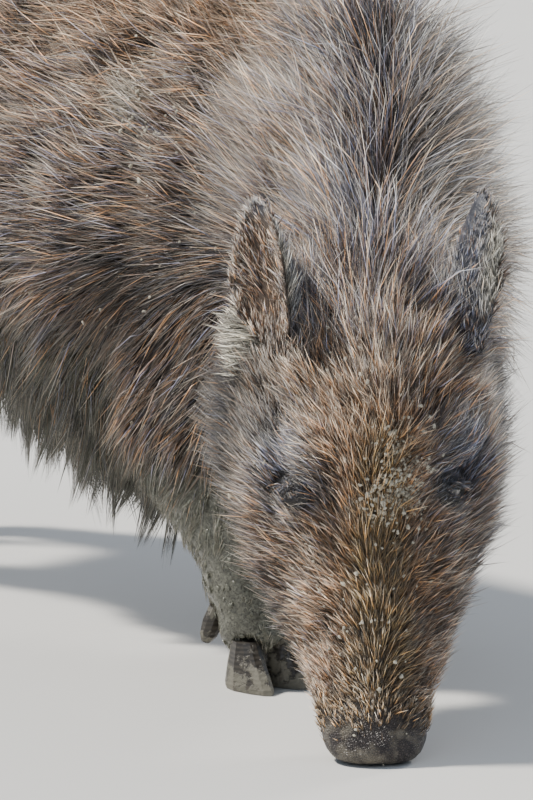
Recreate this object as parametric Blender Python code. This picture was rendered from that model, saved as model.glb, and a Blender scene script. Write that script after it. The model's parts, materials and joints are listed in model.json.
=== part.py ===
"""A wild boar rooting with its snout on the floor, life size, as a still model in its body parts.

The flesh is lofted in overlapping forms, joined into one skin by a voxel remesh, smoothed, thinned,
and then parted into its body parts along thin rounded cuts. Ears, eyes and hooves are their own forms.
All surfaces are those of the coat's tips. Metres, +Z up; the boar faces -Y and its left side is +X.
"""

import math

import bmesh
import bpy
from mathutils import Matrix, Vector

# Driving dimensions
SHOULDER_HEIGHT = 0.63  # withers above the floor in this crouched, rooting stance, bristles included
HEAD_LENGTH = 0.365  # poll to nose disc
HEAD_PITCH = math.radians(76)  # the face line below the horizontal
HEAD_YAW = math.radians(35)  # the head turns to the boar's right
EAR_LENGTH = 0.112
EYE_RADIUS = 0.0125
NOSE = Vector((-0.226, -0.272, 0.0))  # where the nose disc meets the floor
FORE_HOOF_X = 0.112
FORE_HOOF_Y = {"right": 0.014, "left": 0.12}
HIND_HOOF_X = 0.094
HIND_HOOF_Y = {"right": 0.640, "left": 0.745}

# How the solids are made
CUT_GAP = 0.0004  # clear gap between neighbouring solids
HORN_GAP = 0.0006  # the same where the neighbour has sharp edges
BODY_VOXEL, BODY_SMOOTHING = 0.011, 24
SKIN_VOXEL, SKIN_SMOOTHING = 0.008, 9
FLESH_TRIANGLES = 3700
RING_POINTS = 28

SIDES = {"left": 1.0, "right": -1.0}
HIDE = (0.105, 0.085, 0.068)
SNOUT_SKIN = (0.09, 0.075, 0.07)
HORN = (0.035, 0.030, 0.026)
EYE_BROWN = (0.012, 0.007, 0.004)


def clear_scene():
    """Removes every object of the file that the script starts in."""
    for obj in list(bpy.data.objects):
        bpy.data.objects.remove(obj, do_unlink=True)


def material(name, colour, roughness):
    """One Principled material for each finish, made once."""
    found = bpy.data.materials.get(name)
    if found:
        return found
    made = bpy.data.materials.new(name)
    made.use_nodes = True
    shader = made.node_tree.nodes["Principled BSDF"]
    shader.inputs["Base Color"].default_value = (*colour, 1.0)
    shader.inputs["Roughness"].default_value = roughness
    shader.inputs["Metallic"].default_value = 0.0
    return made


def add_object(name, mesh):
    obj = bpy.data.objects.new(name, mesh)
    bpy.context.scene.collection.objects.link(obj)
    return obj


def ring(centre, across, up, half_width, above, below, crest=0.0, flat=0.0):
    """Points of one cross-section, from its top round the boar's left side.

    crest narrows the top to a ridge; flat squares the whole outline, 0 being an ellipse.
    """
    power = 1.0 - 0.5 * flat
    points = []
    for i in range(RING_POINTS):
        angle = 2 * math.pi * i / RING_POINTS
        sine, cosine = math.sin(angle), math.cos(angle)
        wide = math.copysign(abs(sine) ** power, sine) * half_width
        high = math.copysign(abs(cosine) ** power, cosine) * (above if cosine > 0 else below)
        wide *= 1.0 - crest * max(0.0, cosine) ** 1.5
        points.append(centre + across * wide + up * high)
    return points


def loft(name, rings):
    """A closed solid through the rings, with both ends filled."""
    bm = bmesh.new()
    rows = [[bm.verts.new(p) for p in row] for row in rings]
    count = len(rows[0])
    for low, high in zip(rows, rows[1:]):
        for i in range(count):
            j = (i + 1) % count
            bm.faces.new((low[i], low[j], high[j], high[i]))
    bm.faces.new(reversed(rows[0]))
    bm.faces.new(rows[-1])
    bmesh.ops.triangulate(bm, faces=bm.faces)
    bmesh.ops.recalc_face_normals(bm, faces=bm.faces)
    mesh = bpy.data.meshes.new(name)
    bm.to_mesh(mesh)
    bm.free()
    return add_object(name, mesh)


def ball(name, centre, radii, turn=None, segments=24, rings=14):
    """An ellipsoid of three radii, turned by a rotation matrix."""
    bm = bmesh.new()
    bmesh.ops.create_uvsphere(bm, u_segments=segments, v_segments=rings, radius=1.0)
    place = Matrix.Translation(centre) @ (turn or Matrix.Identity(3)).to_4x4() @ Matrix.Diagonal((*radii, 1.0))
    bm.transform(place)
    bmesh.ops.triangulate(bm, faces=bm.faces)
    mesh = bpy.data.meshes.new(name)
    bm.to_mesh(mesh)
    bm.free()
    return add_object(name, mesh)


def limb(name, joints, side):
    """A leg form: each joint is x, y, z of its centre, half its width and half its depth along the leg's front."""
    rings = []
    for i, (x, y, z, half_width, half_depth) in enumerate(joints):
        before, after = joints[max(i - 1, 0)], joints[min(i + 1, len(joints) - 1)]
        along = Vector((after[0] - before[0], after[1] - before[1], after[2] - before[2])).normalized()
        along.x *= side
        across = Vector((side, 0.0, 0.0))
        front = along.cross(across).normalized()
        across = front.cross(along).normalized()
        centre = Vector((x * side, y, z))
        rings.append(ring(centre, across, front, half_width, half_depth, half_depth))
    return loft(name, rings)


def smoothstep(value):
    value = min(1.0, max(0.0, value))
    return value * value * (3 - 2 * value)


# ---- trunk, neck and tail -------------------------------------------------------------------------

# y, half width, top and bottom of the trunk, as shares of the shoulder height
TRUNK_STATIONS = (
    (-0.170, 0.045, 0.640, 0.400),
    (-0.115, 0.100, 0.760, 0.285),
    (-0.020, 0.152, 0.905, 0.222),
    (0.100, 0.184, 0.978, 0.196),
    (0.230, 0.208, 1.004, 0.184),
    (0.400, 0.230, 1.010, 0.205),
    (0.580, 0.242, 1.002, 0.272),
    (0.760, 0.236, 0.984, 0.356),
    (0.930, 0.214, 0.954, 0.450),
    (1.060, 0.178, 0.906, 0.545),
    (1.155, 0.124, 0.842, 0.635),
    (1.200, 0.060, 0.785, 0.695),
)


def trunk():
    """Barrel, withers and rump: deep and narrow, with a ridge that fades towards the rump."""
    rings = []
    for y, half_width, top, bottom in TRUNK_STATIONS:
        middle = bottom + 0.46 * (top - bottom)
        crest = 0.50 - 0.34 * smoothstep(y / 0.9)
        rings.append(
            ring(
                Vector((0.0, y, middle)) * SHOULDER_HEIGHT,
                Vector((1, 0, 0)),
                Vector((0, 0, 1)),
                half_width * SHOULDER_HEIGHT,
                (top - middle) * SHOULDER_HEIGHT,
                (middle - bottom) * SHOULDER_HEIGHT,
                crest=crest,
                flat=0.16,
            )
        )
    return loft("trunk_form", rings)


# Crest point, throat point and half width of the neck from the withers to the poll, in metres
NECK_STATIONS = (
    ((0.006, 0.090, 0.598), (0.004, 0.070, 0.190), 0.086),
    ((-0.004, 0.010, 0.614), (-0.012, -0.015, 0.165), 0.098),
    ((-0.034, -0.058, 0.580), (-0.040, -0.062, 0.180), 0.086),
    ((-0.080, -0.116, 0.510), (-0.062, -0.082, 0.205), 0.080),
    ((-0.130, -0.168, 0.440), (-0.084, -0.092, 0.230), 0.078),
    ((-0.182, -0.216, 0.386), (-0.102, -0.104, 0.252), 0.078),
)


def neck():
    """The neck bends down and to the right, so its sections fan out round the short throat."""
    rings = []
    for i, (crest_at, throat_at, half_width) in enumerate(NECK_STATIONS):
        top, bottom = Vector(crest_at), Vector(throat_at)
        before = NECK_STATIONS[max(i - 1, 0)]
        after = NECK_STATIONS[min(i + 1, len(NECK_STATIONS) - 1)]
        along = (Vector(after[0]) + Vector(after[1]) - Vector(before[0]) - Vector(before[1])).normalized()
        up = (top - bottom).normalized()
        across = up.cross(along).normalized()
        middle = bottom.lerp(top, 0.48)
        rings.append(
            ring(middle, across, up, half_width, (top - middle).length, (middle - bottom).length, crest=0.48)
        )
    return loft("neck_form", rings)


TAIL_ROOT = Vector((0.0, 1.185, 0.795)) * SHOULDER_HEIGHT
TAIL_STATIONS = ((0.0, 0.0, 0.020), (0.16, 0.18, 0.017), (0.30, 0.45, 0.014), (0.36, 0.70, 0.014), (0.37, 1.0, 0.006))
TAIL_DROP = 0.235


def tail():
    """A hanging tail with a brush of hair at its end: share of its reach back, share of its drop, radius."""
    rings = []
    centres = [TAIL_ROOT + Vector((0, 0.11 * back, -TAIL_DROP * down)) for back, down, _ in TAIL_STATIONS]
    centres[0] = TAIL_ROOT - Vector((0, 0.03, 0))
    for i, (_, _, radius) in enumerate(TAIL_STATIONS):
        along = (centres[min(i + 1, len(centres) - 1)] - centres[max(i - 1, 0)]).normalized()
        across = Vector((1, 0, 0))
        up = along.cross(across).normalized()
        rings.append(ring(centres[i], across, up, radius, radius, radius))
    return loft("tail_form", rings)


# ---- head -----------------------------------------------------------------------------------------

# The head's own frame has its origin at the poll, the nose towards -Y and the forehead towards +Z.
HEAD_TURN = Matrix.Rotation(-HEAD_YAW, 3, "Z") @ Matrix.Rotation(HEAD_PITCH, 3, "X")
NOSE_CENTRE = Vector((0.0, -HEAD_LENGTH, -0.040))
HEAD_AT = NOSE - HEAD_TURN @ NOSE_CENTRE
LEVEL_WITH_FLOOR = math.pi / 2 - HEAD_PITCH

# Distance from the nose, half width, top and bottom in metres, squareness and narrowness of the top
HEAD_STATIONS = (
    (-0.004, 0.036, -0.008, -0.070, 0.30, 0.00),
    (0.010, 0.043, -0.004, -0.076, 0.25, 0.00),
    (0.026, 0.045, -0.007, -0.080, 0.20, 0.05),
    (0.055, 0.050, -0.008, -0.092, 0.18, 0.10),
    (0.090, 0.064, -0.006, -0.106, 0.16, 0.20),
    (0.130, 0.084, -0.002, -0.122, 0.14, 0.32),
    (0.170, 0.099, 0.003, -0.138, 0.12, 0.40),
    (0.205, 0.108, 0.009, -0.152, 0.10, 0.40),
    (0.240, 0.113, 0.015, -0.168, 0.08, 0.34),
    (0.280, 0.115, 0.019, -0.182, 0.06, 0.27),
    (0.320, 0.111, 0.018, -0.190, 0.04, 0.22),
    (0.360, 0.098, 0.010, -0.188, 0.02, 0.24),
    (0.395, 0.076, -0.008, -0.178, 0.00, 0.30),
)
JAW_STATIONS = (
    (0.040, 0.022, -0.060, -0.092),
    (0.075, 0.030, -0.064, -0.110),
    (0.130, 0.042, -0.080, -0.136),
    (0.190, 0.058, -0.100, -0.166),
    (0.250, 0.074, -0.110, -0.192),
    (0.310, 0.078, -0.110, -0.200),
)
EYE_AT = (0.0560, 0.206, -0.014)  # sideways, from the nose and above the head's axis
EAR_AT = {"right": (0.074, 0.323, -0.018), "left": (0.081, 0.330, -0.020)}
EAR_FACES = {"right": math.radians(58), "left": math.radians(104)}  # each hollow's turn from the face


def in_head(x, from_nose, z):
    """A point of the head's own frame, given by its distance from the nose, in the boar's frame."""
    return HEAD_AT + HEAD_TURN @ Vector((x, from_nose - HEAD_LENGTH, z))


def head():
    """The long wedge of the head. Its last stretch bends so that the nose disc lies flat on the floor."""
    rings = []
    for from_nose, half_width, top, bottom, flat, crest in HEAD_STATIONS:
        bend = LEVEL_WITH_FLOOR * (1.0 - smoothstep(from_nose / 0.07))
        tilt = HEAD_TURN @ Matrix.Rotation(bend, 3, "X")
        middle = 0.5 * (top + bottom)
        rings.append(
            ring(
                in_head(0.0, from_nose, middle),
                HEAD_TURN @ Vector((1, 0, 0)),
                tilt @ Vector((0, 0, 1)),
                half_width,
                top - middle,
                middle - bottom,
                crest=crest,
                flat=flat,
            )
        )
    return loft("head_form", rings)


def jaw():
    """The lower jaw, narrower than the muzzle at the chin and wide at its angle."""
    rings = []
    for from_nose, half_width, top, bottom in JAW_STATIONS:
        middle = 0.5 * (top + bottom)
        rings.append(
            ring(
                in_head(0.0, from_nose, middle),
                HEAD_TURN @ Vector((1, 0, 0)),
                HEAD_TURN @ Vector((0, 0, 1)),
                half_width,
                top - middle,
                middle - bottom,
                flat=0.2,
            )
        )
    return loft("jaw_form", rings)


def face_forms(side):
    """Brow, cheek and jowl of one side, which the remesh melts into the head."""
    turn = HEAD_TURN
    return [
        ball("brow_form", in_head(0.046 * side, 0.240, -0.008), (0.026, 0.036, 0.018), turn),
        ball("cheek_form", in_head(0.074 * side, 0.250, -0.060), (0.034, 0.070, 0.048), turn),
        ball("jowl_form", in_head(0.066 * side, 0.285, -0.122), (0.044, 0.075, 0.060), turn),
    ]


def eye(side_name):
    side = SIDES[side_name]
    x, from_nose, z = EYE_AT
    obj = ball("eye_" + side_name, in_head(x * side, from_nose, z), (EYE_RADIUS,) * 3, HEAD_TURN, 12, 8)
    obj.data.materials.append(material("eye", EYE_BROWN, 0.08))
    return obj


# Share of the ear's length, half width, depth of its hollow and half thickness, as shares of that length
EAR_STATIONS = (
    (-0.22, 0.20, 0.05, 0.110),
    (0.04, 0.27, 0.12, 0.085),
    (0.24, 0.32, 0.23, 0.064),
    (0.46, 0.32, 0.24, 0.056),
    (0.64, 0.29, 0.18, 0.052),
    (0.80, 0.22, 0.11, 0.048),
    (0.92, 0.14, 0.05, 0.044),
    (1.00, 0.06, 0.00, 0.030),
)
EAR_HALF_POINTS = 7


def ear(side_name):
    """A cupped ear held straight up, its hollow turned outwards and a little forwards."""
    side = SIDES[side_name]
    x, from_nose, z = EAR_AT[side_name]
    root = in_head(x * side, from_nose, z)
    away = Matrix.Rotation(-HEAD_YAW, 3, "Z")
    along = (away @ Vector((0.10 * side, 0.16, 1.0))).normalized()
    facing = EAR_FACES[side_name]
    opens = away @ Vector((math.sin(facing) * side, -math.cos(facing), 0.0))
    opens = (opens - along * opens.dot(along)).normalized()
    across = along.cross(opens)
    rings = []
    for share, half_width, hollow, half_thick in EAR_STATIONS:
        centre = root + along * (share * EAR_LENGTH)
        outer, inner = [], []
        for i in range(EAR_HALF_POINTS):
            s = -1.0 + 2.0 * i / (EAR_HALF_POINTS - 1)
            bow = hollow * (1.0 - s * s) - 0.35 * hollow
            edge = half_thick * (1.0 - 0.55 * s * s)
            at = centre + across * (s * half_width * EAR_LENGTH)
            outer.append(at - opens * ((bow + edge) * EAR_LENGTH))
            inner.append(at - opens * ((bow - edge) * EAR_LENGTH))
        rings.append(outer + inner[::-1])
    obj = loft("ear_" + side_name, rings)
    obj.data.materials.append(material("hide", HIDE, 0.8))
    return obj


# ---- legs and hooves ------------------------------------------------------------------------------

# x, y, z, half width and half depth down a leg, in metres; y counts from its own hoof
FORELEG_JOINTS = (
    (0.040, 0.015, 0.430, 0.024, 0.050),
    (0.064, 0.022, 0.385, 0.038, 0.085),
    (0.086, 0.046, 0.325, 0.046, 0.102),
    (0.105, 0.074, 0.255, 0.049, 0.097),
    (0.114, 0.060, 0.200, 0.050, 0.082),
    (0.116, 0.024, 0.150, 0.044, 0.060),
    (0.114, 0.006, 0.110, 0.036, 0.042),
    (0.113, 0.004, 0.075, 0.034, 0.039),
    (0.112, -0.005, 0.048, 0.031, 0.033),
    (0.112, -0.012, 0.026, 0.028, 0.029),
)
HINDLEG_JOINTS = (
    (0.040, -0.060, 0.500, 0.040, 0.075),
    (0.072, -0.085, 0.435, 0.060, 0.112),
    (0.091, -0.080, 0.370, 0.060, 0.104),
    (0.097, -0.025, 0.295, 0.045, 0.070),
    (0.096, 0.035, 0.235, 0.034, 0.048),
    (0.095, 0.045, 0.180, 0.029, 0.038),
    (0.094, 0.028, 0.120, 0.026, 0.031),
    (0.094, 0.016, 0.080, 0.030, 0.036),
    (0.094, -0.002, 0.050, 0.029, 0.031),
    (0.094, -0.010, 0.026, 0.026, 0.027),
)
HOOF_SPREAD = 0.0165
HOOF_LENGTH = 0.062
HOOF_HEIGHT = 0.040


def moved_leg(joints, foot_y, hip_y):
    """The leg's joints with the foot at foot_y and the top held at hip_y, swinging evenly between."""
    top, low = joints[0][2], joints[-1][2]
    moved = []
    for x, y, z, half_width, half_depth in joints:
        share = smoothstep((top - z) / (top - low))
        moved.append((x, y + hip_y + (foot_y - hip_y) * share, z, half_width, half_depth))
    return moved


def body_forms(side):
    """Shoulder and ham of one side, which the remesh melts into the trunk."""
    lean = Matrix.Rotation(0.30, 3, "X")
    return [
        ball("shoulder_form", Vector((0.060 * side, 0.035, 0.310)), (0.058, 0.112, 0.150), lean),
        ball("ham_form", Vector((0.060 * side, 0.575, 0.425)), (0.079, 0.138, 0.150), lean.transposed()),
    ]


def neck_base():
    """The muscle that fills the bend between the neck and the right shoulder."""
    return ball("neck_base_form", Vector((-0.040, -0.010, 0.400)), (0.080, 0.110, 0.140), Matrix.Rotation(0.3, 3, "X"))


def foreleg(side_name):
    return limb("foreleg_form", moved_leg(FORELEG_JOINTS, FORE_HOOF_Y[side_name], 0.02), SIDES[side_name])


def hindleg(side_name):
    return limb("hindleg_form", moved_leg(HINDLEG_JOINTS, HIND_HOOF_Y[side_name], 0.66), SIDES[side_name])


# Height share, toe reach, heel reach and half width of a cloven hoof's claw, as shares of its length
CLAW_STATIONS = ((0.0, 0.56, 0.42, 0.225), (0.10, 0.55, 0.43, 0.232), (0.55, 0.36, 0.36, 0.222), (1.0, 0.16, 0.28, 0.185))


def claw(name, x, y, splay):
    """One claw of a cloven hoof, flat underneath, its toe pointed forwards and turned out by splay."""
    turn = Matrix.Rotation(splay, 3, "Z")
    rings = []
    for share, toe, heel, half_width in CLAW_STATIONS:
        points = []
        for i in range(12):
            angle = 2 * math.pi * i / 12
            reach = toe if math.cos(angle) > 0 else heel
            forward = math.cos(angle) * reach * HOOF_LENGTH
            sideways = math.sin(angle) * half_width * HOOF_LENGTH * (1.0 - 0.30 * max(0.0, math.cos(angle)))
            at = turn @ Vector((sideways, -forward, 0.0))
            points.append(Vector((x, y, share * HOOF_HEIGHT)) + at)
        rings.append(points)
    obj = loft(name, rings)
    obj.data.materials.append(material("hoof", HORN, 0.45))
    return obj


def dewclaw(name, x, y, z, side):
    """A small blunt claw behind the fetlock that points down and clears the floor."""
    rings = []
    down = Vector((0.10 * side, 0.42, -1.0)).normalized()
    across = Vector((1, 0, 0)) - down * down.x
    across.normalize()
    for share, radius in ((0.0, 0.0085), (0.45, 0.0100), (0.80, 0.0082), (1.0, 0.0045)):
        centre = Vector((x, y, z)) + down * (share * 0.034)
        rings.append([centre + across * (math.sin(a) * radius) + down.cross(across) * (math.cos(a) * radius * 0.8)
                      for a in (2 * math.pi * i / 10 for i in range(10))])
    obj = loft(name, rings)
    obj.data.materials.append(material("hoof", HORN, 0.45))
    return obj


def hooves():
    """Two claws and two dewclaws on each foot."""
    made = []
    feet = (("fore", FORE_HOOF_X, FORE_HOOF_Y, 1.0), ("hind", HIND_HOOF_X, HIND_HOOF_Y, 0.94))
    for end, foot_x, foot_y, _ in feet:
        for side_name, side in SIDES.items():
            x, y = foot_x * side, foot_y[side_name] - 0.016
            for where, out in (("outer", side), ("inner", -side)):
                tag = f"{end}_{side_name}_{where}"
                made.append(claw("hoof_" + tag, x + out * HOOF_SPREAD, y, 0.10 * out))
                made.append(dewclaw("dewclaw_" + tag, x + out * 0.0175, y + 0.036, 0.064, out))
    return made


# ---- joining and parting --------------------------------------------------------------------------


def apply_modifiers(obj):
    bpy.context.view_layer.objects.active = obj
    for modifier in list(obj.modifiers):
        bpy.ops.object.modifier_apply(modifier=modifier.name)


def melted(name, forms, voxel, turns):
    """Joins overlapping forms and melts them into one smooth closed skin."""
    bpy.ops.object.select_all(action="DESELECT")
    for obj in forms:
        obj.select_set(True)
    skin = forms[0]
    bpy.context.view_layer.objects.active = skin
    bpy.ops.object.join()
    skin.name = name
    remesh = skin.modifiers.new("Melt", "REMESH")
    remesh.mode = "VOXEL"
    remesh.voxel_size = voxel
    smooth = skin.modifiers.new("Smooth", "SMOOTH")
    smooth.factor = 0.5
    smooth.iterations = turns
    apply_modifiers(skin)
    return skin


def thinned(obj, triangles):
    """Leaves about this many triangles on a skin, fewest where it is flattest."""
    thin = obj.modifiers.new("Thin", "DECIMATE")
    thin.ratio = triangles / (2 * len(obj.data.polygons))
    thin.use_collapse_triangulate = True
    relax = obj.modifiers.new("Relax", "SMOOTH")
    relax.factor = 0.25
    relax.iterations = 1
    apply_modifiers(obj)
    return obj


def grown(obj, by):
    """A copy of a solid, swollen along its normals, for cutting its neighbour with a clear gap."""
    copy = obj.copy()
    copy.data = obj.data.copy()
    bpy.context.scene.collection.objects.link(copy)
    bm = bmesh.new()
    bm.from_mesh(copy.data)
    bm.normal_update()
    moves = [(v, v.normal * by) for v in bm.verts]
    for vertex, move in moves:
        vertex.co += move
    bm.to_mesh(copy.data)
    bm.free()
    return copy


def boolean(obj, other, operation):
    modifier = obj.modifiers.new(operation, "BOOLEAN")
    modifier.operation = operation
    modifier.object = other
    apply_modifiers(obj)


def cut_away(obj, other, gap=CUT_GAP):
    """Cuts a solid, grown by the gap, from obj."""
    cutter = grown(other, gap)
    boolean(obj, cutter, "DIFFERENCE")
    bpy.data.objects.remove(cutter)


def part_off(flesh, name, region):
    """Takes the flesh inside a region off as its own node, with a thin gap left round it."""
    piece = flesh.copy()
    piece.data = flesh.data.copy()
    piece.name = name
    bpy.context.scene.collection.objects.link(piece)
    boolean(piece, region, "INTERSECT")
    cut_away(flesh, region)
    bpy.data.objects.remove(region)
    return piece


def keep_largest(obj):
    """Drops the crumbs that a rounded cut may leave, keeping the main body."""
    bm = bmesh.new()
    bm.from_mesh(obj.data)
    left, bodies = set(bm.verts), []
    while left:
        body, stack = set(), [left.pop()]
        while stack:
            vertex = stack.pop()
            body.add(vertex)
            for edge in vertex.link_edges:
                other = edge.other_vert(vertex)
                if other in left:
                    left.discard(other)
                    stack.append(other)
        bodies.append(body)
    bodies.sort(key=len)
    for body in bodies[:-1]:
        bmesh.ops.delete(bm, geom=list(body), context="VERTS")
    bm.to_mesh(obj.data)
    bm.free()


def floor_block():
    """A block under the floor, which trims the nose to a flat."""
    bm = bmesh.new()
    bmesh.ops.create_cube(bm, size=4.0)
    bm.transform(Matrix.Translation((0, 0, -2.0)))
    mesh = bpy.data.meshes.new("floor_block")
    bm.to_mesh(mesh)
    bm.free()
    return add_object("floor_block", mesh)


def part_flesh(flesh):
    """Parts the skin into the regions that a person would name, from the head and legs inwards."""
    head_region = ball("r", in_head(0, 0.125, -0.075), (0.20, 0.228, 0.225), HEAD_TURN, 20, 12)
    jaw_region = ball("r", in_head(0, 0.090, -0.290), (0.13, 0.200, 0.204), HEAD_TURN, 20, 12)
    snout_region = ball("r", in_head(0, -0.045, -0.040), (0.11, 0.100, 0.11), HEAD_TURN, 16, 10)
    tail_region = ball("r", TAIL_ROOT + Vector((0, 0.095, -0.130)), (0.05, 0.085, 0.20), None, 14, 8)
    neck_region = ball("r", Vector((-0.290, -0.430, 0.420)), (0.50, 0.50, 0.50), None, 28, 16)
    head_piece = part_off(flesh, "head", head_region)
    pieces = [
        part_off(head_piece, "lower_jaw", jaw_region),
        part_off(head_piece, "snout", snout_region),
        head_piece,
        part_off(flesh, "tail", tail_region),
    ]
    for side_name, side in SIDES.items():
        fore_at = Vector((0.150 * side, FORE_HOOF_Y[side_name] + 0.012, 0.130))
        hind_at = Vector((0.135 * side, HIND_HOOF_Y[side_name] - 0.012, 0.170))
        fore_region = ball("r", fore_at, (0.088, 0.150, 0.225), None, 18, 10)
        hind_region = ball("r", hind_at, (0.098, 0.170, 0.260), None, 18, 10)
        pieces.append(part_off(flesh, "foreleg_" + side_name, fore_region))
        pieces.append(part_off(flesh, "hindleg_" + side_name, hind_region))
    pieces.append(part_off(flesh, "neck", neck_region))
    flesh.name = "trunk"
    pieces.append(flesh)
    for piece in pieces:
        keep_largest(piece)
    return pieces


def centre_on_floor(objects):
    """Moves all solids so that the middle of their box's underside is the origin."""
    corners = [obj.matrix_world @ v.co for obj in objects for v in obj.data.vertices]
    low = [min(c[i] for c in corners) for i in range(3)]
    high = [max(c[i] for c in corners) for i in range(3)]
    shift = Vector((-(low[0] + high[0]) / 2, -(low[1] + high[1]) / 2, -low[2]))
    for obj in objects:
        obj.data.transform(Matrix.Translation(shift))


def main():
    clear_scene()
    body = [trunk(), neck(), neck_base(), *body_forms(1.0), *body_forms(-1.0)]
    forms = [melted("body_form", body, BODY_VOXEL, BODY_SMOOTHING), head(), jaw(), tail()]
    for side_name, side in SIDES.items():
        forms += [*face_forms(side), foreleg(side_name), hindleg(side_name)]
    flesh = thinned(melted("flesh", forms, SKIN_VOXEL, SKIN_SMOOTHING), FLESH_TRIANGLES)
    block = floor_block()
    boolean(flesh, block, "DIFFERENCE")
    bpy.data.objects.remove(block)

    ears = [ear(side_name) for side_name in SIDES]
    eyes = [eye(side_name) for side_name in SIDES]
    horn = hooves()
    for obj in ears:
        cut_away(obj, flesh)
        keep_largest(obj)
    for obj in eyes + horn:
        cut_away(flesh, obj, HORN_GAP)
    flesh.data.materials.clear()
    flesh.data.materials.append(material("hide", HIDE, 0.8))
    pieces = part_flesh(flesh)
    for obj in pieces:
        if obj.name == "snout":
            obj.data.materials.clear()
            obj.data.materials.append(material("snout_skin", SNOUT_SKIN, 0.4))
    centre_on_floor(pieces + ears + eyes + horn)


main()
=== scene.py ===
"""A wild boar with its snout on the ground, as a still life-size model: skin, coat, eyes, hooves and mud."""

import json
import logging
import math
from collections.abc import Callable
from dataclasses import dataclass, field
from enum import Enum

import bmesh
import bpy
import numpy as np
from mathutils import Matrix, Vector, kdtree

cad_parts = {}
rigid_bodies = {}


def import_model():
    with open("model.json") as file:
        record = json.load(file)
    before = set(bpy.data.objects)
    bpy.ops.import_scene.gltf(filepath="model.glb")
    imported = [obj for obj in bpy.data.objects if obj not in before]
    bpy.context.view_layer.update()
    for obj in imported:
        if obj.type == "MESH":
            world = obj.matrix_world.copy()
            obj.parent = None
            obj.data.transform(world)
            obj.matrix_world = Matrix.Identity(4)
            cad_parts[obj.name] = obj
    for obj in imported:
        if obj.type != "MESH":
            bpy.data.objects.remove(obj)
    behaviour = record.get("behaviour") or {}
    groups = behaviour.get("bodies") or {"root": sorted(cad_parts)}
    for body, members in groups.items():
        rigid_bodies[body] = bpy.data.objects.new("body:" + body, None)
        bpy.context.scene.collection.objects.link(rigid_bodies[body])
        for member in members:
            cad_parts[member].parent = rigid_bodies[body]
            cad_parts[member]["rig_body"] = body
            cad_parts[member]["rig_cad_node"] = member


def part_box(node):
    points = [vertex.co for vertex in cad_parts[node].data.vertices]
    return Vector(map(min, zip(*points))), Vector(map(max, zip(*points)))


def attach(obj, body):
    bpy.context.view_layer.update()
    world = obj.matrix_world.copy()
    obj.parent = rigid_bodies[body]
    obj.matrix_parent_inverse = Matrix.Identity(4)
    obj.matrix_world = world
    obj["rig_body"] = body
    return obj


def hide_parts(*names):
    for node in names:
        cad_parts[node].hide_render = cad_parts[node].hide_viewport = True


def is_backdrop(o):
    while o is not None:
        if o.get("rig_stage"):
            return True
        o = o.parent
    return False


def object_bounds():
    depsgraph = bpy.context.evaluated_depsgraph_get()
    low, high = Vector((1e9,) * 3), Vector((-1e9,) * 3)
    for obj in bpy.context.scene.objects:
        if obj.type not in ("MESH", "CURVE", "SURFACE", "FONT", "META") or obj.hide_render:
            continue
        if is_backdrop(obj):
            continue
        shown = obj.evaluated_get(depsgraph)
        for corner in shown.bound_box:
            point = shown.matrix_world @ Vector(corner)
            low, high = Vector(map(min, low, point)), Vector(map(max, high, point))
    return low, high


log = logging.getLogger("boar")

Array = np.ndarray
Colour = tuple[float, float, float]
Place = tuple[float, float, float]
Cover = Callable[[Array, Array], Array]

# Every hair has a number of its own. Up to the first of these it is under-hair or a lock, and from the
# second on it is a guard hair.
GUARD_EDGE = (0.745, 0.785)


# ---- numbers and fields ---------------------------------------------------------------------------


def ramp(values: Array, start: float, end: float) -> Array:
    """A smooth step from 0 at start to 1 at end, which may be the lower of the two.

    Args:
        values: Where to read the step.
        start: Where it leaves 0.
        end: Where it reaches 1.

    Returns:
        The step at each value.
    """
    share = np.clip((values - start) / (end - start), 0.0, 1.0)
    return share * share * (3.0 - 2.0 * share)


def bell(values: Array, centre: float, width: float) -> Array:
    """A smooth bump of height 1.

    Args:
        values: Where to read the bump.
        centre: Its middle.
        width: How far from its middle it falls to about a third.

    Returns:
        The bump at each value.
    """
    return np.exp(-(((values - centre) / width) ** 2))


def ball_share(points: Array, centre: Vector, radius: float) -> Array:
    """How far inside a soft ball each point lies, 1 at its centre and a third at its radius."""
    return bell(np.linalg.norm(points - np.array(centre), axis=1), 0.0, radius)


def unit(vectors: Array) -> Array:
    """Each row at length 1."""
    return vectors / np.maximum(np.linalg.norm(vectors, axis=1, keepdims=True), 1e-12)


def waves(points: Array, scale: float, seed: int, count: int = 7) -> Array:
    """Smooth noise of about -1 to 1, made of plane waves in seeded directions.

    Args:
        points: Where to read it, in metres.
        scale: The length of a wave, in metres.
        seed: Which noise it is.
        count: How many waves it adds.

    Returns:
        The noise at each point.
    """
    rng = np.random.default_rng(seed)
    ways = unit(rng.normal(size=(count, 3))) * (2 * math.pi / scale) * rng.uniform(0.6, 1.5, (count, 1))
    return np.sin(points @ ways.T + rng.uniform(0, 2 * math.pi, count)).sum(axis=1) / math.sqrt(count / 2) / 1.6


def smooth_over(values: Array, edges: Array, turns: int) -> Array:
    """Evens out values over a mesh.

    Args:
        values: One row for each vertex.
        edges: The mesh's edges as pairs of vertices.
        turns: How many times each vertex takes its neighbours' mean.

    Returns:
        The evened rows.
    """
    count, (a, b) = len(values), edges.T
    degree = np.maximum(np.bincount(a, minlength=count) + np.bincount(b, minlength=count), 1)
    for _ in range(turns):
        total = np.stack(
            [np.bincount(a, col[b], count) + np.bincount(b, col[a], count) for col in values.T], axis=1
        )
        values = 0.5 * values + 0.5 * total / degree[:, None]
    return values


# ---- objects --------------------------------------------------------------------------------------


def pick_only(*objects: bpy.types.Object) -> None:
    """Selects just these objects.

    Args:
        *objects: The objects, the one to be active first.
    """
    bpy.ops.object.select_all(action="DESELECT")
    for obj in objects:
        obj.select_set(True)
    bpy.context.view_layer.objects.active = objects[0]


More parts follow.
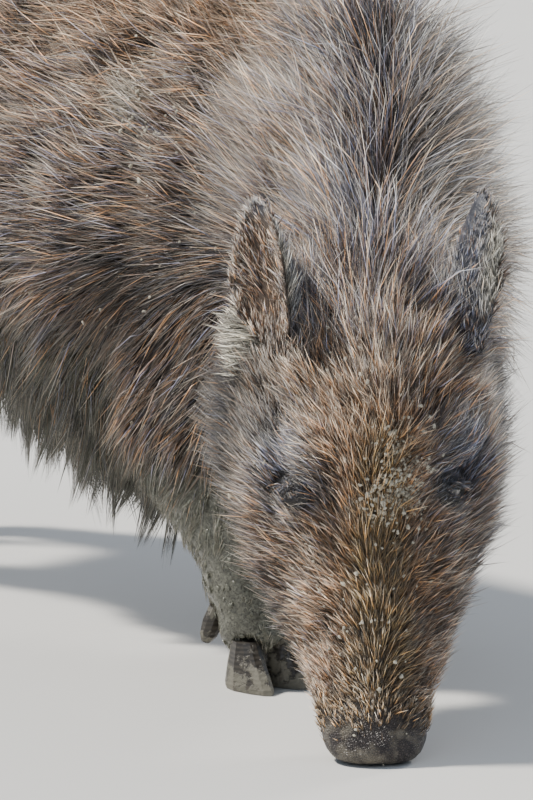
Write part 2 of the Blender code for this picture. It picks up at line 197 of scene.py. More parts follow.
def apply_modifier(obj: bpy.types.Object, kind: str, **values: object) -> None:
    """Adds a modifier and applies it.

    Args:
        obj: The object it goes on.
        kind: The modifier's type.
        **values: Its settings.
    """
    pick_only(obj)
    modifier = obj.modifiers.new(kind.title(), kind)
    for name, value in values.items():
        setattr(modifier, name, value)
    bpy.ops.object.modifier_apply(modifier=modifier.name)


def read_rows(items: bpy.types.bpy_prop_collection, key: str, width: int, kind: type = np.float32) -> Array:
    """Reads a number or a vector of every item of a mesh.

    Args:
        items: The mesh's vertices, edges, faces or the like.
        key: What to read of each.
        width: How many numbers that is.
        kind: The numbers' type.

    Returns:
        One row for each item.
    """
    flat = np.empty(len(items) * width, kind)
    items.foreach_get(key, flat)
    return flat.reshape(-1, width)


def mesh_points(mesh: bpy.types.Mesh) -> Array:
    """A mesh's vertices as rows."""
    return read_rows(mesh.vertices, "co", 3).astype(np.float64)


def set_points(mesh: bpy.types.Mesh, points: Array) -> None:
    """Moves a mesh's vertices to these rows."""
    mesh.vertices.foreach_set("co", points.astype(np.float32).ravel())
    mesh.update()


def mesh_normals(mesh: bpy.types.Mesh) -> Array:
    """A mesh's vertex normals as rows."""
    return read_rows(mesh.vertex_normals, "vector", 3).astype(np.float64)


def mesh_edges(mesh: bpy.types.Mesh) -> Array:
    """A mesh's edges as pairs of vertices."""
    return read_rows(mesh.edges, "vertices", 2, np.int32)


def write_colour(mesh: bpy.types.Mesh, name: str, values: Array) -> None:
    """Stores four numbers for each vertex.

    Args:
        mesh: The mesh that holds them.
        name: The attribute's name.
        values: One row of four for each vertex.
    """
    attribute = mesh.attributes.new(name, "FLOAT_COLOR", "POINT")
    attribute.data.foreach_set("color", values.astype(np.float32).ravel())


def settle(obj: bpy.types.Object, slot: str, *replaced: str) -> bpy.types.Object:
    """Puts a finished piece on the boar's one body.

    Args:
        obj: The piece.
        slot: Not used.
        *replaced: CAD nodes that it stands for.

    Returns:
        The piece.
    """
    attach(obj, "root")
    if replaced:
        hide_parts(*replaced)
    log.info("%s: %d faces", obj.name, len(obj.data.polygons))
    return obj


# ---- shader building ------------------------------------------------------------------------------

Socket = bpy.types.NodeSocket
Feed = Socket | float | tuple[float, ...]


@dataclass
class Bench:
    """Adds nodes to one tree and joins them up."""

    tree: bpy.types.NodeTree

    def add(self, kind: str, feeds: dict[int | str, Feed] | None = None, **settings: object) -> bpy.types.Node:
        """Adds a node.

        Args:
            kind: Its type.
            feeds: A socket or a value for each of its inputs.
            **settings: Its properties.

        Returns:
            The node.
        """
        node = self.tree.nodes.new(kind)
        for name, value in settings.items():
            setattr(node, name, value)
        self.feed(node, feeds or {})
        return node

    def feed(self, node: bpy.types.Node, feeds: dict[int | str, Feed]) -> None:
        """Fills a node's inputs.

        Args:
            node: The node.
            feeds: A socket or a value for each input, by name or number.
        """
        for key, value in feeds.items():
            socket = node.inputs[key]
            if isinstance(value, bpy.types.NodeSocket):
                self.tree.links.new(value, socket)
            elif isinstance(value, tuple) and len(value) == 3 and socket.type == "RGBA":
                socket.default_value = (*value, 1.0)
            else:
                socket.default_value = value

    def maths(self, operation: str, a: Feed, b: Feed = 0.0, c: Feed = 0.0, clamp: bool = False) -> Socket:
        """One sum of two or three numbers."""
        return self.add("ShaderNodeMath", {0: a, 1: b, 2: c}, operation=operation, use_clamp=clamp).outputs[0]

    def times(self, a: Feed, b: Feed) -> Socket:
        """The product of two numbers."""
        return self.maths("MULTIPLY", a, b)

    def plus(self, a: Feed, b: Feed, clamp: bool = False) -> Socket:
        """The sum of two numbers."""
        return self.maths("ADD", a, b, clamp=clamp)

    def mix(self, share: Feed, a: Feed, b: Feed, blend: str = "MIX") -> Socket:
        """Colour a turning into colour b by a share."""
        settings = {"data_type": "RGBA", "blend_type": blend, "clamp_factor": True}
        return self.add("ShaderNodeMix", {0: share, 6: a, 7: b}, **settings).outputs[2]

    def span(self, value: Feed, low: float, high: float, to_low: float = 0.0, to_high: float = 1.0) -> Socket:
        """A number eased from one range to another."""
        feeds = {0: value, 1: low, 2: high, 3: to_low, 4: to_high}
        return self.add("ShaderNodeMapRange", feeds, interpolation_type="SMOOTHSTEP").outputs[0]

    def noise(self, place: Feed, scale: float, detail: float = 3.0, rough: float = 0.55) -> Socket:
        """Noise of about 0 to 1."""
        feeds = {"Vector": place, "Scale": scale, "Detail": detail, "Roughness": rough}
        return self.add("ShaderNodeTexNoise", feeds).outputs["Fac"]

    def place(self) -> Socket:
        """The piece's own coordinates, in metres."""
        return self.add("ShaderNodeTexCoord").outputs["Object"]


def new_group(
    name: str, ins: dict[str, str], outs: dict[str, str]
) -> tuple[bpy.types.NodeTree, Bench, bpy.types.Node, bpy.types.Node]:
    """Starts a shader node group.

    Args:
        name: The group's name.
        ins: Each input's name and kind.
        outs: Each output's name and kind.

    Returns:
        The group, a bench on it, and its input and output nodes.
    """
    tree = bpy.data.node_groups.new(name, "ShaderNodeTree")
    for sockets, way in ((ins, "INPUT"), (outs, "OUTPUT")):
        for title, kind in sockets.items():
            tree.interface.new_socket(title, in_out=way, socket_type="NodeSocket" + kind)
    bench = Bench(tree)
    return tree, bench, bench.add("NodeGroupInput"), bench.add("NodeGroupOutput")


@dataclass(frozen=True)
class Finish:
    """A finish, made once and shared by every piece that has it."""

    name: str

    def material(self) -> bpy.types.Material:
        """Makes the finish, or finds it if it is there.

        Returns:
            The material.
        """
        found = bpy.data.materials.get(self.name)
        if found:
            return found
        made = bpy.data.materials.new(self.name)
        made.use_nodes = True
        self.lay(Bench(made.node_tree), made.node_tree.nodes["Principled BSDF"])
        return made

    def lay(self, bench: Bench, shader: bpy.types.Node) -> None:
        """Builds the finish; each kind has its own way."""
        raise NotImplementedError


@dataclass(frozen=True)
class CoatTones:
    """The boar's colours, linear, for the skin and every coat piece alike; the blue strand tone is a painted sky
    reflection.
    """

    root: Colour = (0.016, 0.012, 0.009)
    brown: Colour = (0.215, 0.165, 0.120)
    rust: Colour = (0.400, 0.205, 0.085)
    ochre: Colour = (0.400, 0.262, 0.095)
    slate: Colour = (0.170, 0.185, 0.265)
    cream: Colour = (0.760, 0.725, 0.600)
    vivid: Colour = (0.520, 0.250, 0.085)
    # Painted sky reflection: the blue that some strands are given.
    sky_glint: Colour = (0.150, 0.175, 0.290)
    wet: Colour = (0.026, 0.026, 0.017)
    wet_brown: Colour = (0.085, 0.085, 0.062)
    clay: Colour = (0.255, 0.255, 0.200)
    dry_mud: Colour = (0.520, 0.460, 0.370)
    dark_mud: Colour = (0.300, 0.265, 0.210)

    def group(self) -> bpy.types.NodeTree:
        """The shared colour of hair and skin.

        Zone holds rust, slate, cream and dark. State holds the share along a hair, a number of the
        hair's own, damp and mud.

        Returns:
            The node group.
        """
        found = bpy.data.node_groups.get("boar colour")
        if found:
            return found
        tree, bench, ins, outs = new_group(
            "boar colour",
            {"Zone": "Color", "Dark": "Float", "State": "Color", "Mud": "Float", "Place": "Vector"},
            {"Colour": "Color", "Roughness": "Float"},
        )
        zone = bench.add("ShaderNodeSeparateColor", {0: ins.outputs["Zone"]})
        state = bench.add("ShaderNodeSeparateColor", {0: ins.outputs["State"]})
        along, own, damp = state.outputs
        place = ins.outputs["Place"]
        patch = bench.noise(place, 14.0, 3.0)
        fine = bench.noise(place, 90.0, 2.0)
        rust = bench.plus(zone.outputs[0], bench.span(patch, 0.35, 0.65, -0.22, 0.22), clamp=True)
        warm = bench.mix(bench.span(zone.outputs[0], 0.75, 0.95), self.rust, self.ochre)
        middle = bench.mix(rust, self.brown, warm)
        middle = bench.mix(zone.outputs[1], middle, self.slate)
        other = bench.maths("FRACT", bench.times(own, 7.31))
        vivid = bench.mix(0.6, warm, self.vivid)
        reddish = bench.maths("SUBTRACT", bench.plus(other, bench.times(rust, 0.36)), 0.18)
        middle = bench.mix(bench.span(reddish, 0.60, 0.72, 0.0, 0.85), middle, vivid)
        # Some strands in the slate zones turn blue: a painted sky reflection on glossy hair.
        sky_glint_share = bench.maths("SUBTRACT", bench.times(zone.outputs[1], 0.7), other)
        middle = bench.mix(bench.span(sky_glint_share, -0.04, 0.06, 0.0, 0.7), middle, self.sky_glint)
        third = bench.maths("FRACT", bench.times(own, 23.7))
        tipped = bench.plus(zone.outputs[2], bench.maths("SUBTRACT", third, 0.72))
        tipped = bench.plus(tipped, bench.span(own, *GUARD_EDGE, -0.10, 0.40))
        tip = bench.mix(0.25, self.cream, middle)
        tip = bench.mix(bench.span(tipped, 0.0, 0.35), bench.mix(0.30, middle, self.cream), tip)
        pale = bench.span(zone.outputs[2], 0.62, 1.05)
        middle = bench.mix(bench.times(pale, 0.85), middle, self.cream)
        root = bench.mix(bench.times(pale, 0.35), self.root, self.cream)
        colour = bench.mix(bench.span(along, 0.10, 0.66), root, middle)
        colour = bench.mix(bench.span(along, 0.52, 1.0), colour, tip)
        strand = bench.add(
            "ShaderNodeTexNoise", {"W": bench.times(own, 61.0), "Detail": 1.0}, noise_dimensions="1D"
        ).outputs["Fac"]
        light = bench.maths("POWER", bench.span(strand, 0.26, 0.72), 2.3)
        light = bench.maths("MULTIPLY_ADD", light, 1.95, 0.16)
        guard = bench.span(own, *GUARD_EDGE)
        light = bench.times(light, bench.span(guard, 0.0, 1.0, 0.62, 1.25))
        light = bench.plus(light, bench.times(guard, 0.45))
        light = bench.times(light, bench.span(fine, 0.3, 0.7, 0.75, 1.25))
        # The Dark number darkens whole strands: darker hair, and also painted shade from the coat's lie (under the
        # body, in the ear hollows, over the left ear, and in patches on the cheek and shoulder).
        light = bench.times(light, bench.span(ins.outputs["Dark"], 0.0, 1.0, 1.0, 0.22))
        shade = bench.add("ShaderNodeCombineColor", {0: light, 1: light, 2: light}).outputs[0]
        colour = bench.mix(1.0, colour, shade, "MULTIPLY")
        crumb = bench.noise(place, 260.0, 3.0, 0.7)
        muddy = bench.span(bench.plus(ins.outputs["Mud"], bench.times(crumb, 0.7)), 0.75, 1.05)
        colour = bench.mix(muddy, colour, bench.mix(fine, self.dry_mud, self.dark_mud))
        soaked = bench.span(bench.plus(damp, bench.times(fine, 0.5)), 0.55, 1.05)
        drenched = bench.times(soaked, bench.span(along, 0.72, 1.0, 1.0, 0.86))
        drenched = bench.times(drenched, bench.span(guard, 0.0, 1.0, 1.0, 0.40))
        soaking = bench.mix(bench.span(patch, 0.35, 0.62), self.wet, self.wet_brown)
        colour = bench.mix(drenched, colour, bench.mix(muddy, soaking, self.clay))
        bench.feed(outs, {"Colour": colour, "Roughness": bench.span(soaked, 0.0, 1.0, 0.40, 0.20)})
        return tree

    def placed(self, bench: Bench, place: Socket) -> tuple[bpy.types.Node, Socket]:
        """Puts the shared colour in a material.

        Args:
            bench: A bench on the material.
            place: The piece's own coordinates.

        Returns:
            The group's node, and the piece's State.
        """
        zone = bench.add("ShaderNodeAttribute", attribute_name="zone").outputs
        state = bench.add("ShaderNodeAttribute", attribute_name="state").outputs
        feeds = {"Zone": zone["Color"], "Dark": zone["Alpha"], "State": state["Color"], "Mud": state["Alpha"]}
        node = bench.add("ShaderNodeGroup", {**feeds, "Place": place}, node_tree=self.group())
        return node, state["Color"]


@dataclass(frozen=True)
class HairFinish(Finish):
    """Hair: its colour runs from a dark root to a pale tip."""

    name: str = "boar hair"
    tones: CoatTones = CoatTones()

    def lay(self, bench: Bench, shader: bpy.types.Node) -> None:
        """Builds the finish.

        Args:
            bench: A bench on the material.
            shader: The material's Principled node.
        """
        colour, _ = self.tones.placed(bench, bench.place())
        bench.feed(shader, {"Base Color": colour.outputs["Colour"], "Roughness": colour.outputs["Roughness"]})
        shader.inputs["Specular IOR Level"].default_value = 0.80


@dataclass(frozen=True)
class HideFinish(Finish):
    """Hide under the coat, with short flat under-hair as bump, and bare skin on the snout."""

    name: str = "boar hide"
    tones: CoatTones = CoatTones()
    bare: Colour = (0.060, 0.047, 0.044)

    def lay(self, bench: Bench, shader: bpy.types.Node) -> None:
        """Builds the finish.

        Args:
            bench: A bench on the material.
            shader: The material's Principled node.
        """
        nude = bench.add("ShaderNodeAttribute", attribute_name="nude").outputs["Fac"]
        place = bench.place()
        colour, state = self.tones.placed(bench, place)
        fuzz = bench.noise(place, 520.0, 2.0, 0.7)
        along = bench.add("ShaderNodeSeparateColor", {0: state}).outputs[0]
        thin = bench.span(along, 0.4, 0.7, 1.0, 0.25)
        hidden = bench.times(bench.span(fuzz, 0.25, 0.75, 0.25, 0.9), thin)
        furred = bench.mix(hidden, colour.outputs["Colour"], (0.012, 0.009, 0.007))
        pebble = bench.add(
            "ShaderNodeTexVoronoi", {"Vector": place, "Scale": 480.0}, feature="DISTANCE_TO_EDGE"
        ).outputs["Distance"]
        bare = bench.mix(bench.span(pebble, 0.0, 0.35), (0.020, 0.016, 0.015), self.bare)
        bare = bench.mix(bench.span(bench.noise(place, 60.0), 0.45, 0.68), bare, (0.150, 0.130, 0.100))
        gloss = bench.span(colour.outputs["Roughness"], 0.20, 0.40, 0.10, 0.42)
        lump = bench.noise(place, 150.0, 4.0, 0.6)
        height = bench.plus(bench.times(fuzz, 0.6), bench.times(lump, 1.4))
        height = bench.plus(height, bench.times(bench.span(pebble, 0.0, 0.3), nude))
        bump = bench.add("ShaderNodeBump", {"Height": height, "Strength": 0.8, "Distance": 0.0012}).outputs[0]
        bench.feed(shader, {"Base Color": bench.mix(nude, furred, bare), "Roughness": gloss, "Normal": bump})
        shader.inputs["Specular IOR Level"].default_value = 0.4


@dataclass(frozen=True)
class EyeFinish(Finish):
    """A wet dark eye: brown iris, wide dark pupil, a little white at the corners."""

    centre: Place
    looks: Place

    def lay(self, bench: Bench, shader: bpy.types.Node) -> None:
        """Builds the finish.

        Args:
            bench: A bench on the material.
            shader: The material's Principled node.
        """
        vector = "ShaderNodeVectorMath"
        toward = bench.add(vector, {0: bench.place(), 1: self.centre}, operation="SUBTRACT").outputs[0]
        facing = bench.add(vector, {0: toward}, operation="NORMALIZE").outputs[0]
        cosine = bench.add(vector, {0: facing, 1: self.looks}, operation="DOT_PRODUCT").outputs["Value"]
        streak = bench.noise(facing, 9.0, 4.0)
        iris = bench.mix(bench.span(streak, 0.3, 0.7), (0.030, 0.014, 0.006), (0.090, 0.045, 0.018))
        colour = bench.mix(bench.span(cosine, 0.88, 0.915), iris, (0.002, 0.002, 0.002))
        rim = bench.span(cosine, 0.42, 0.30)
        colour = bench.mix(rim, colour, bench.mix(streak, (0.10, 0.07, 0.05), (0.30, 0.24, 0.19)))
        bench.feed(shader, {"Base Color": colour, "Roughness": bench.span(streak, 0.2, 0.8, 0.04, 0.10)})
        bench.feed(shader, {"Coat Weight": 1.0, "Coat Roughness": 0.03})


@dataclass(frozen=True)
class HornFinish(Finish):
    """Hoof horn: growth rings round it, worn pale at the edge, mud in its grooves."""

    name: str = "boar horn"

    def lay(self, bench: Bench, shader: bpy.types.Node) -> None:
        """Builds the finish.

        Args:
            bench: A bench on the material.
            shader: The material's Principled node.
        """
        place = bench.place()
        rise = bench.add("ShaderNodeSeparateXYZ", {0: place}).outputs[2]
        wobble = bench.noise(place, 45.0, 2.0)
        turn = bench.maths("MULTIPLY_ADD", wobble, 16.0, bench.times(rise, 1500.0))
        rings = bench.maths("SINE", turn)
        colour = bench.mix(bench.span(rings, -1.0, 1.0), (0.022, 0.018, 0.014), (0.044, 0.037, 0.029))
        colour = bench.mix(bench.span(rise, 0.010, 0.0, 0.0, 0.5), colour, (0.120, 0.100, 0.075))
        mud = bench.plus(bench.noise(place, 75.0, 5.0, 0.65), bench.span(rise, 0.030, 0.0, 0.0, 0.14))
        muddy = bench.span(mud, 0.52, 0.62)
        colour = bench.mix(muddy, colour, bench.mix(wobble, (0.085, 0.082, 0.060), (0.22, 0.20, 0.16)))
        crust = bench.times(muddy, bench.plus(bench.noise(place, 300.0, 4.0, 0.7), 0.6))
        height = bench.plus(bench.times(rings, 0.08), crust)
        bump = bench.add("ShaderNodeBump", {"Height": height, "Strength": 0.7, "Distance": 0.0010}).outputs[0]
        gloss = bench.span(muddy, 0.0, 1.0, 0.38, 0.72)
        bench.feed(shader, {"Base Color": colour, "Roughness": gloss, "Normal": bump})


@dataclass(frozen=True)
class MudFinish(Finish):
    """Clods: dried pale crust, or wet and shining."""

    light: Colour
    dark: Colour
    roughness: float

    def lay(self, bench: Bench, shader: bpy.types.Node) -> None:
        """Builds the finish.

        Args:
            bench: A bench on the material.
            shader: The material's Principled node.
        """
        place = bench.place()
        grit = bench.noise(place, 420.0, 4.0, 0.7)
        patch = bench.noise(place, 70.0, 2.0)
        colour = bench.mix(bench.span(grit, 0.3, 0.7), self.dark, self.light)
        colour = bench.mix(bench.span(patch, 0.4, 0.7, 0.0, 0.6), colour, self.dark)
        gloss = bench.span(patch, 0.3, 0.7, self.roughness, min(1.0, self.roughness + 0.2))
        bump = bench.add("ShaderNodeBump", {"Height": grit, "Strength": 0.9, "Distance": 0.0009}).outputs[0]
        bench.feed(shader, {"Base Color": colour, "Roughness": gloss, "Normal": bump})


@dataclass(frozen=True)
class FloorFinish(Finish):
    """A pale, very slightly mottled floor."""

    name: str = "floor"
    colour: Colour = (0.60, 0.59, 0.565)

    def lay(self, bench: Bench, shader: bpy.types.Node) -> None:
        """Builds the finish.

        Args:
            bench: A bench on the material.
            shader: The material's Principled node.
        """
        mottle = bench.noise(bench.place(), 3.0, 4.0)
        darker = tuple(0.93 * c for c in self.colour)
        bench.feed(shader, {"Base Color": bench.mix(mottle, darker, self.colour), "Roughness": 0.9})


# ---- anatomy --------------------------------------------------------------------------------------


class Part(Enum):
    """The flesh nodes, as numbers that a vertex can carry."""

    TRUNK = "trunk"
    NECK = "neck"
    HEAD = "head"
    SNOUT = "snout"
    JAW = "lower_jaw"
    TAIL = "tail"
    EAR_RIGHT = "ear_right"
    EAR_LEFT = "ear_left"
    FORE_RIGHT = "foreleg_right"
    FORE_LEFT = "foreleg_left"
    HIND_RIGHT = "hindleg_right"
    HIND_LEFT = "hindleg_left"


PARTS = list(Part)
EARS = {Part.EAR_RIGHT: -1.0, Part.EAR_LEFT: 1.0}
LEGS = (Part.FORE_RIGHT, Part.FORE_LEFT, Part.HIND_RIGHT, Part.HIND_LEFT)


def is_part(labels: Array, *parts: Part) -> Array:
    """Which labels name one of these parts."""
    return np.isin(labels, [PARTS.index(p) for p in parts])


@dataclass
class Anatomy:
    """Where the boar's parts lie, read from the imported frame."""

    box: tuple[Array, Array]
    head_pitch: float = math.radians(76)
    eye_from_nose: float = 0.206
    eye_above_axis: float = -0.014
    head_length: float = 0.365
    ear_roots: tuple[Place, Place] = ((-0.074, 0.323, -0.018), (0.081, 0.330, -0.020))
    ear_faces: tuple[float, float] = (math.radians(58), math.radians(104))
    poll_in_source: Place = (-0.1976, -0.2315, 0.3638)
    ridge_in_source: tuple[Place, ...] = (
        (-0.182, -0.216, 0.386), (-0.130, -0.168, 0.440), (-0.080, -0.116, 0.510), (-0.034, -0.058, 0.580),
        (-0.004, 0.010, 0.612), (0.0, 0.145, 0.628), (0.0, 0.252, 0.630), (0.0, 0.365, 0.628), (0.0, 0.479, 0.615),
        (0.0, 0.586, 0.595), (0.0, 0.668, 0.565), (0.0, 0.728, 0.520),
    )
    head_at: Vector = field(init=False)
    turn: Matrix = field(init=False)
    axis_x: float = field(init=False)
    eyes: dict[str, Vector] = field(init=False)
    ahead: Vector = field(init=False)
    across: Vector = field(init=False)
    ear_axes: dict[float, tuple[Vector, Vector, Vector, Vector]] = field(init=False)

    def __post_init__(self) -> None:
        """Finds the head's own axes from the two eyes, and the trunk's middle plane."""
        self.eyes = {side: self.middle("eye_" + side) for side in ("left", "right")}
        across = (self.eyes["left"] - self.eyes["right"]).normalized()
        ahead = Vector((across.y, -across.x, 0.0)).normalized()
        sine, cosine = math.sin(self.head_pitch), math.cos(self.head_pitch)
        up_face = Vector((0, 0, sine)) - ahead * cosine
        brow = ahead * sine + Vector((0, 0, cosine))
        self.turn = Matrix((across, up_face, brow)).transposed()
        middle = (self.eyes["left"] + self.eyes["right"]) / 2
        self.head_at = middle - up_face * (self.eye_from_nose - self.head_length) - brow * self.eye_above_axis
        low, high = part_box("trunk")
        self.axis_x = (low.x + high.x) / 2
        self.ahead, self.across = ahead, across
        self.ear_axes = {side: self.ear_frame(side) for side in (-1.0, 1.0)}

    @staticmethod
    def middle(node: str) -> Vector:
        """The middle of a CAD node's box."""
        low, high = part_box(node)
        return (low + high) / 2

    def eye_axes(self, side: float) -> tuple[Vector, Vector, Vector]:
        """How an eye is set.

        Args:
            side: -1 for the right eye and 1 for the left.

        Returns:
            Which way it looks, and level and upright across its opening.
        """
        looks = (self.turn @ Vector((0.74 * side, 0.02, 0.66))).normalized()
        level = looks.cross(self.turn @ Vector((0.25 * side, 1.0, 0.1))).normalized()
        return looks, level, level.cross(looks).normalized()

    def in_head(self, x: float, from_nose: float, z: float) -> Vector:
        """A point given in the head's own frame: to its left, from the nose, and above the axis."""
        return self.head_at + self.turn @ Vector((x, from_nose - self.head_length, z))

    def to_head(self, points: Array) -> Array:
        """Points in the head's own frame."""
        local = (points - np.array(self.head_at)) @ np.array(self.turn)
        return local + np.array((0.0, self.head_length, 0.0))

    def from_head(self, vectors: Array) -> Array:
        """Directions given in the head's own frame, turned into the boar's."""
        return vectors @ np.array(self.turn).T

    def ear_frame(self, side: float) -> tuple[Vector, Vector, Vector, Vector]:
        """How an ear is set.

        Args:
            side: -1 for the right ear and 1 for the left.

        Returns:
            Its root, its long axis, the way its hollow opens, and across it.
        """
        which = 0 if side < 0 else 1
        root = self.in_head(*self.ear_roots[which])
        level = Matrix((self.across, -self.ahead, Vector((0, 0, 1)))).transposed()
        along = (level @ Vector((0.10 * side, 0.16, 1.0))).normalized()
        facing = self.ear_faces[which]
        opens = level @ Vector((math.sin(facing) * side, -math.cos(facing), 0.0))
        opens = (opens - along * opens.dot(along)).normalized()
        return root, along, opens, along.cross(opens)

    def ridge(self) -> Array:
        """The line of the crest.

        Returns:
            Points from the brow over the poll and withers to the tail root.
        """
        shift = self.head_at - Vector(self.poll_in_source)
        stations = [self.in_head(0.0, f, z) for f, z in ((0.24, 0.015), (0.29, 0.019), (0.33, 0.016))]
        stations += [Vector(spot) + shift for spot in self.ridge_in_source]
        line = np.array([list(s) for s in stations])
        shares = np.linspace(0, len(line) - 1, 200)
        return np.stack([np.interp(shares, range(len(line)), line[:, i]) for i in range(3)], axis=1)


def off_line(points: Array, line: Array) -> tuple[Array, Array, Array, Array]:
    """How far points are from a line of points.

    Args:
        points: The points.
        line: The line's points, in order.

    Returns:
        Each point's distance, the share of the line at its nearest point, the line's way there, and
        how far to the line's left the point is.
    """
    best, at = np.full(len(points), 1e9), np.zeros(len(points), int)
    for i, spot in enumerate(line):
        gap = ((points - spot) ** 2).sum(axis=1)
        closer = gap < best
        best[closer], at[closer] = gap[closer], i
    ways = unit(np.gradient(line, axis=0))
    even = np.full(13, 1 / 13)
    ways = unit(np.stack([np.convolve(np.pad(w, 6, "edge"), even, "valid") for w in ways.T], axis=1))
    left = unit(np.stack([ways[:, 1], -ways[:, 0], np.zeros(len(ways))], axis=1))
    beside = ((points - line[at]) * left[at]).sum(axis=1)
    return np.sqrt(best), at / (len(line) - 1), ways[at], beside


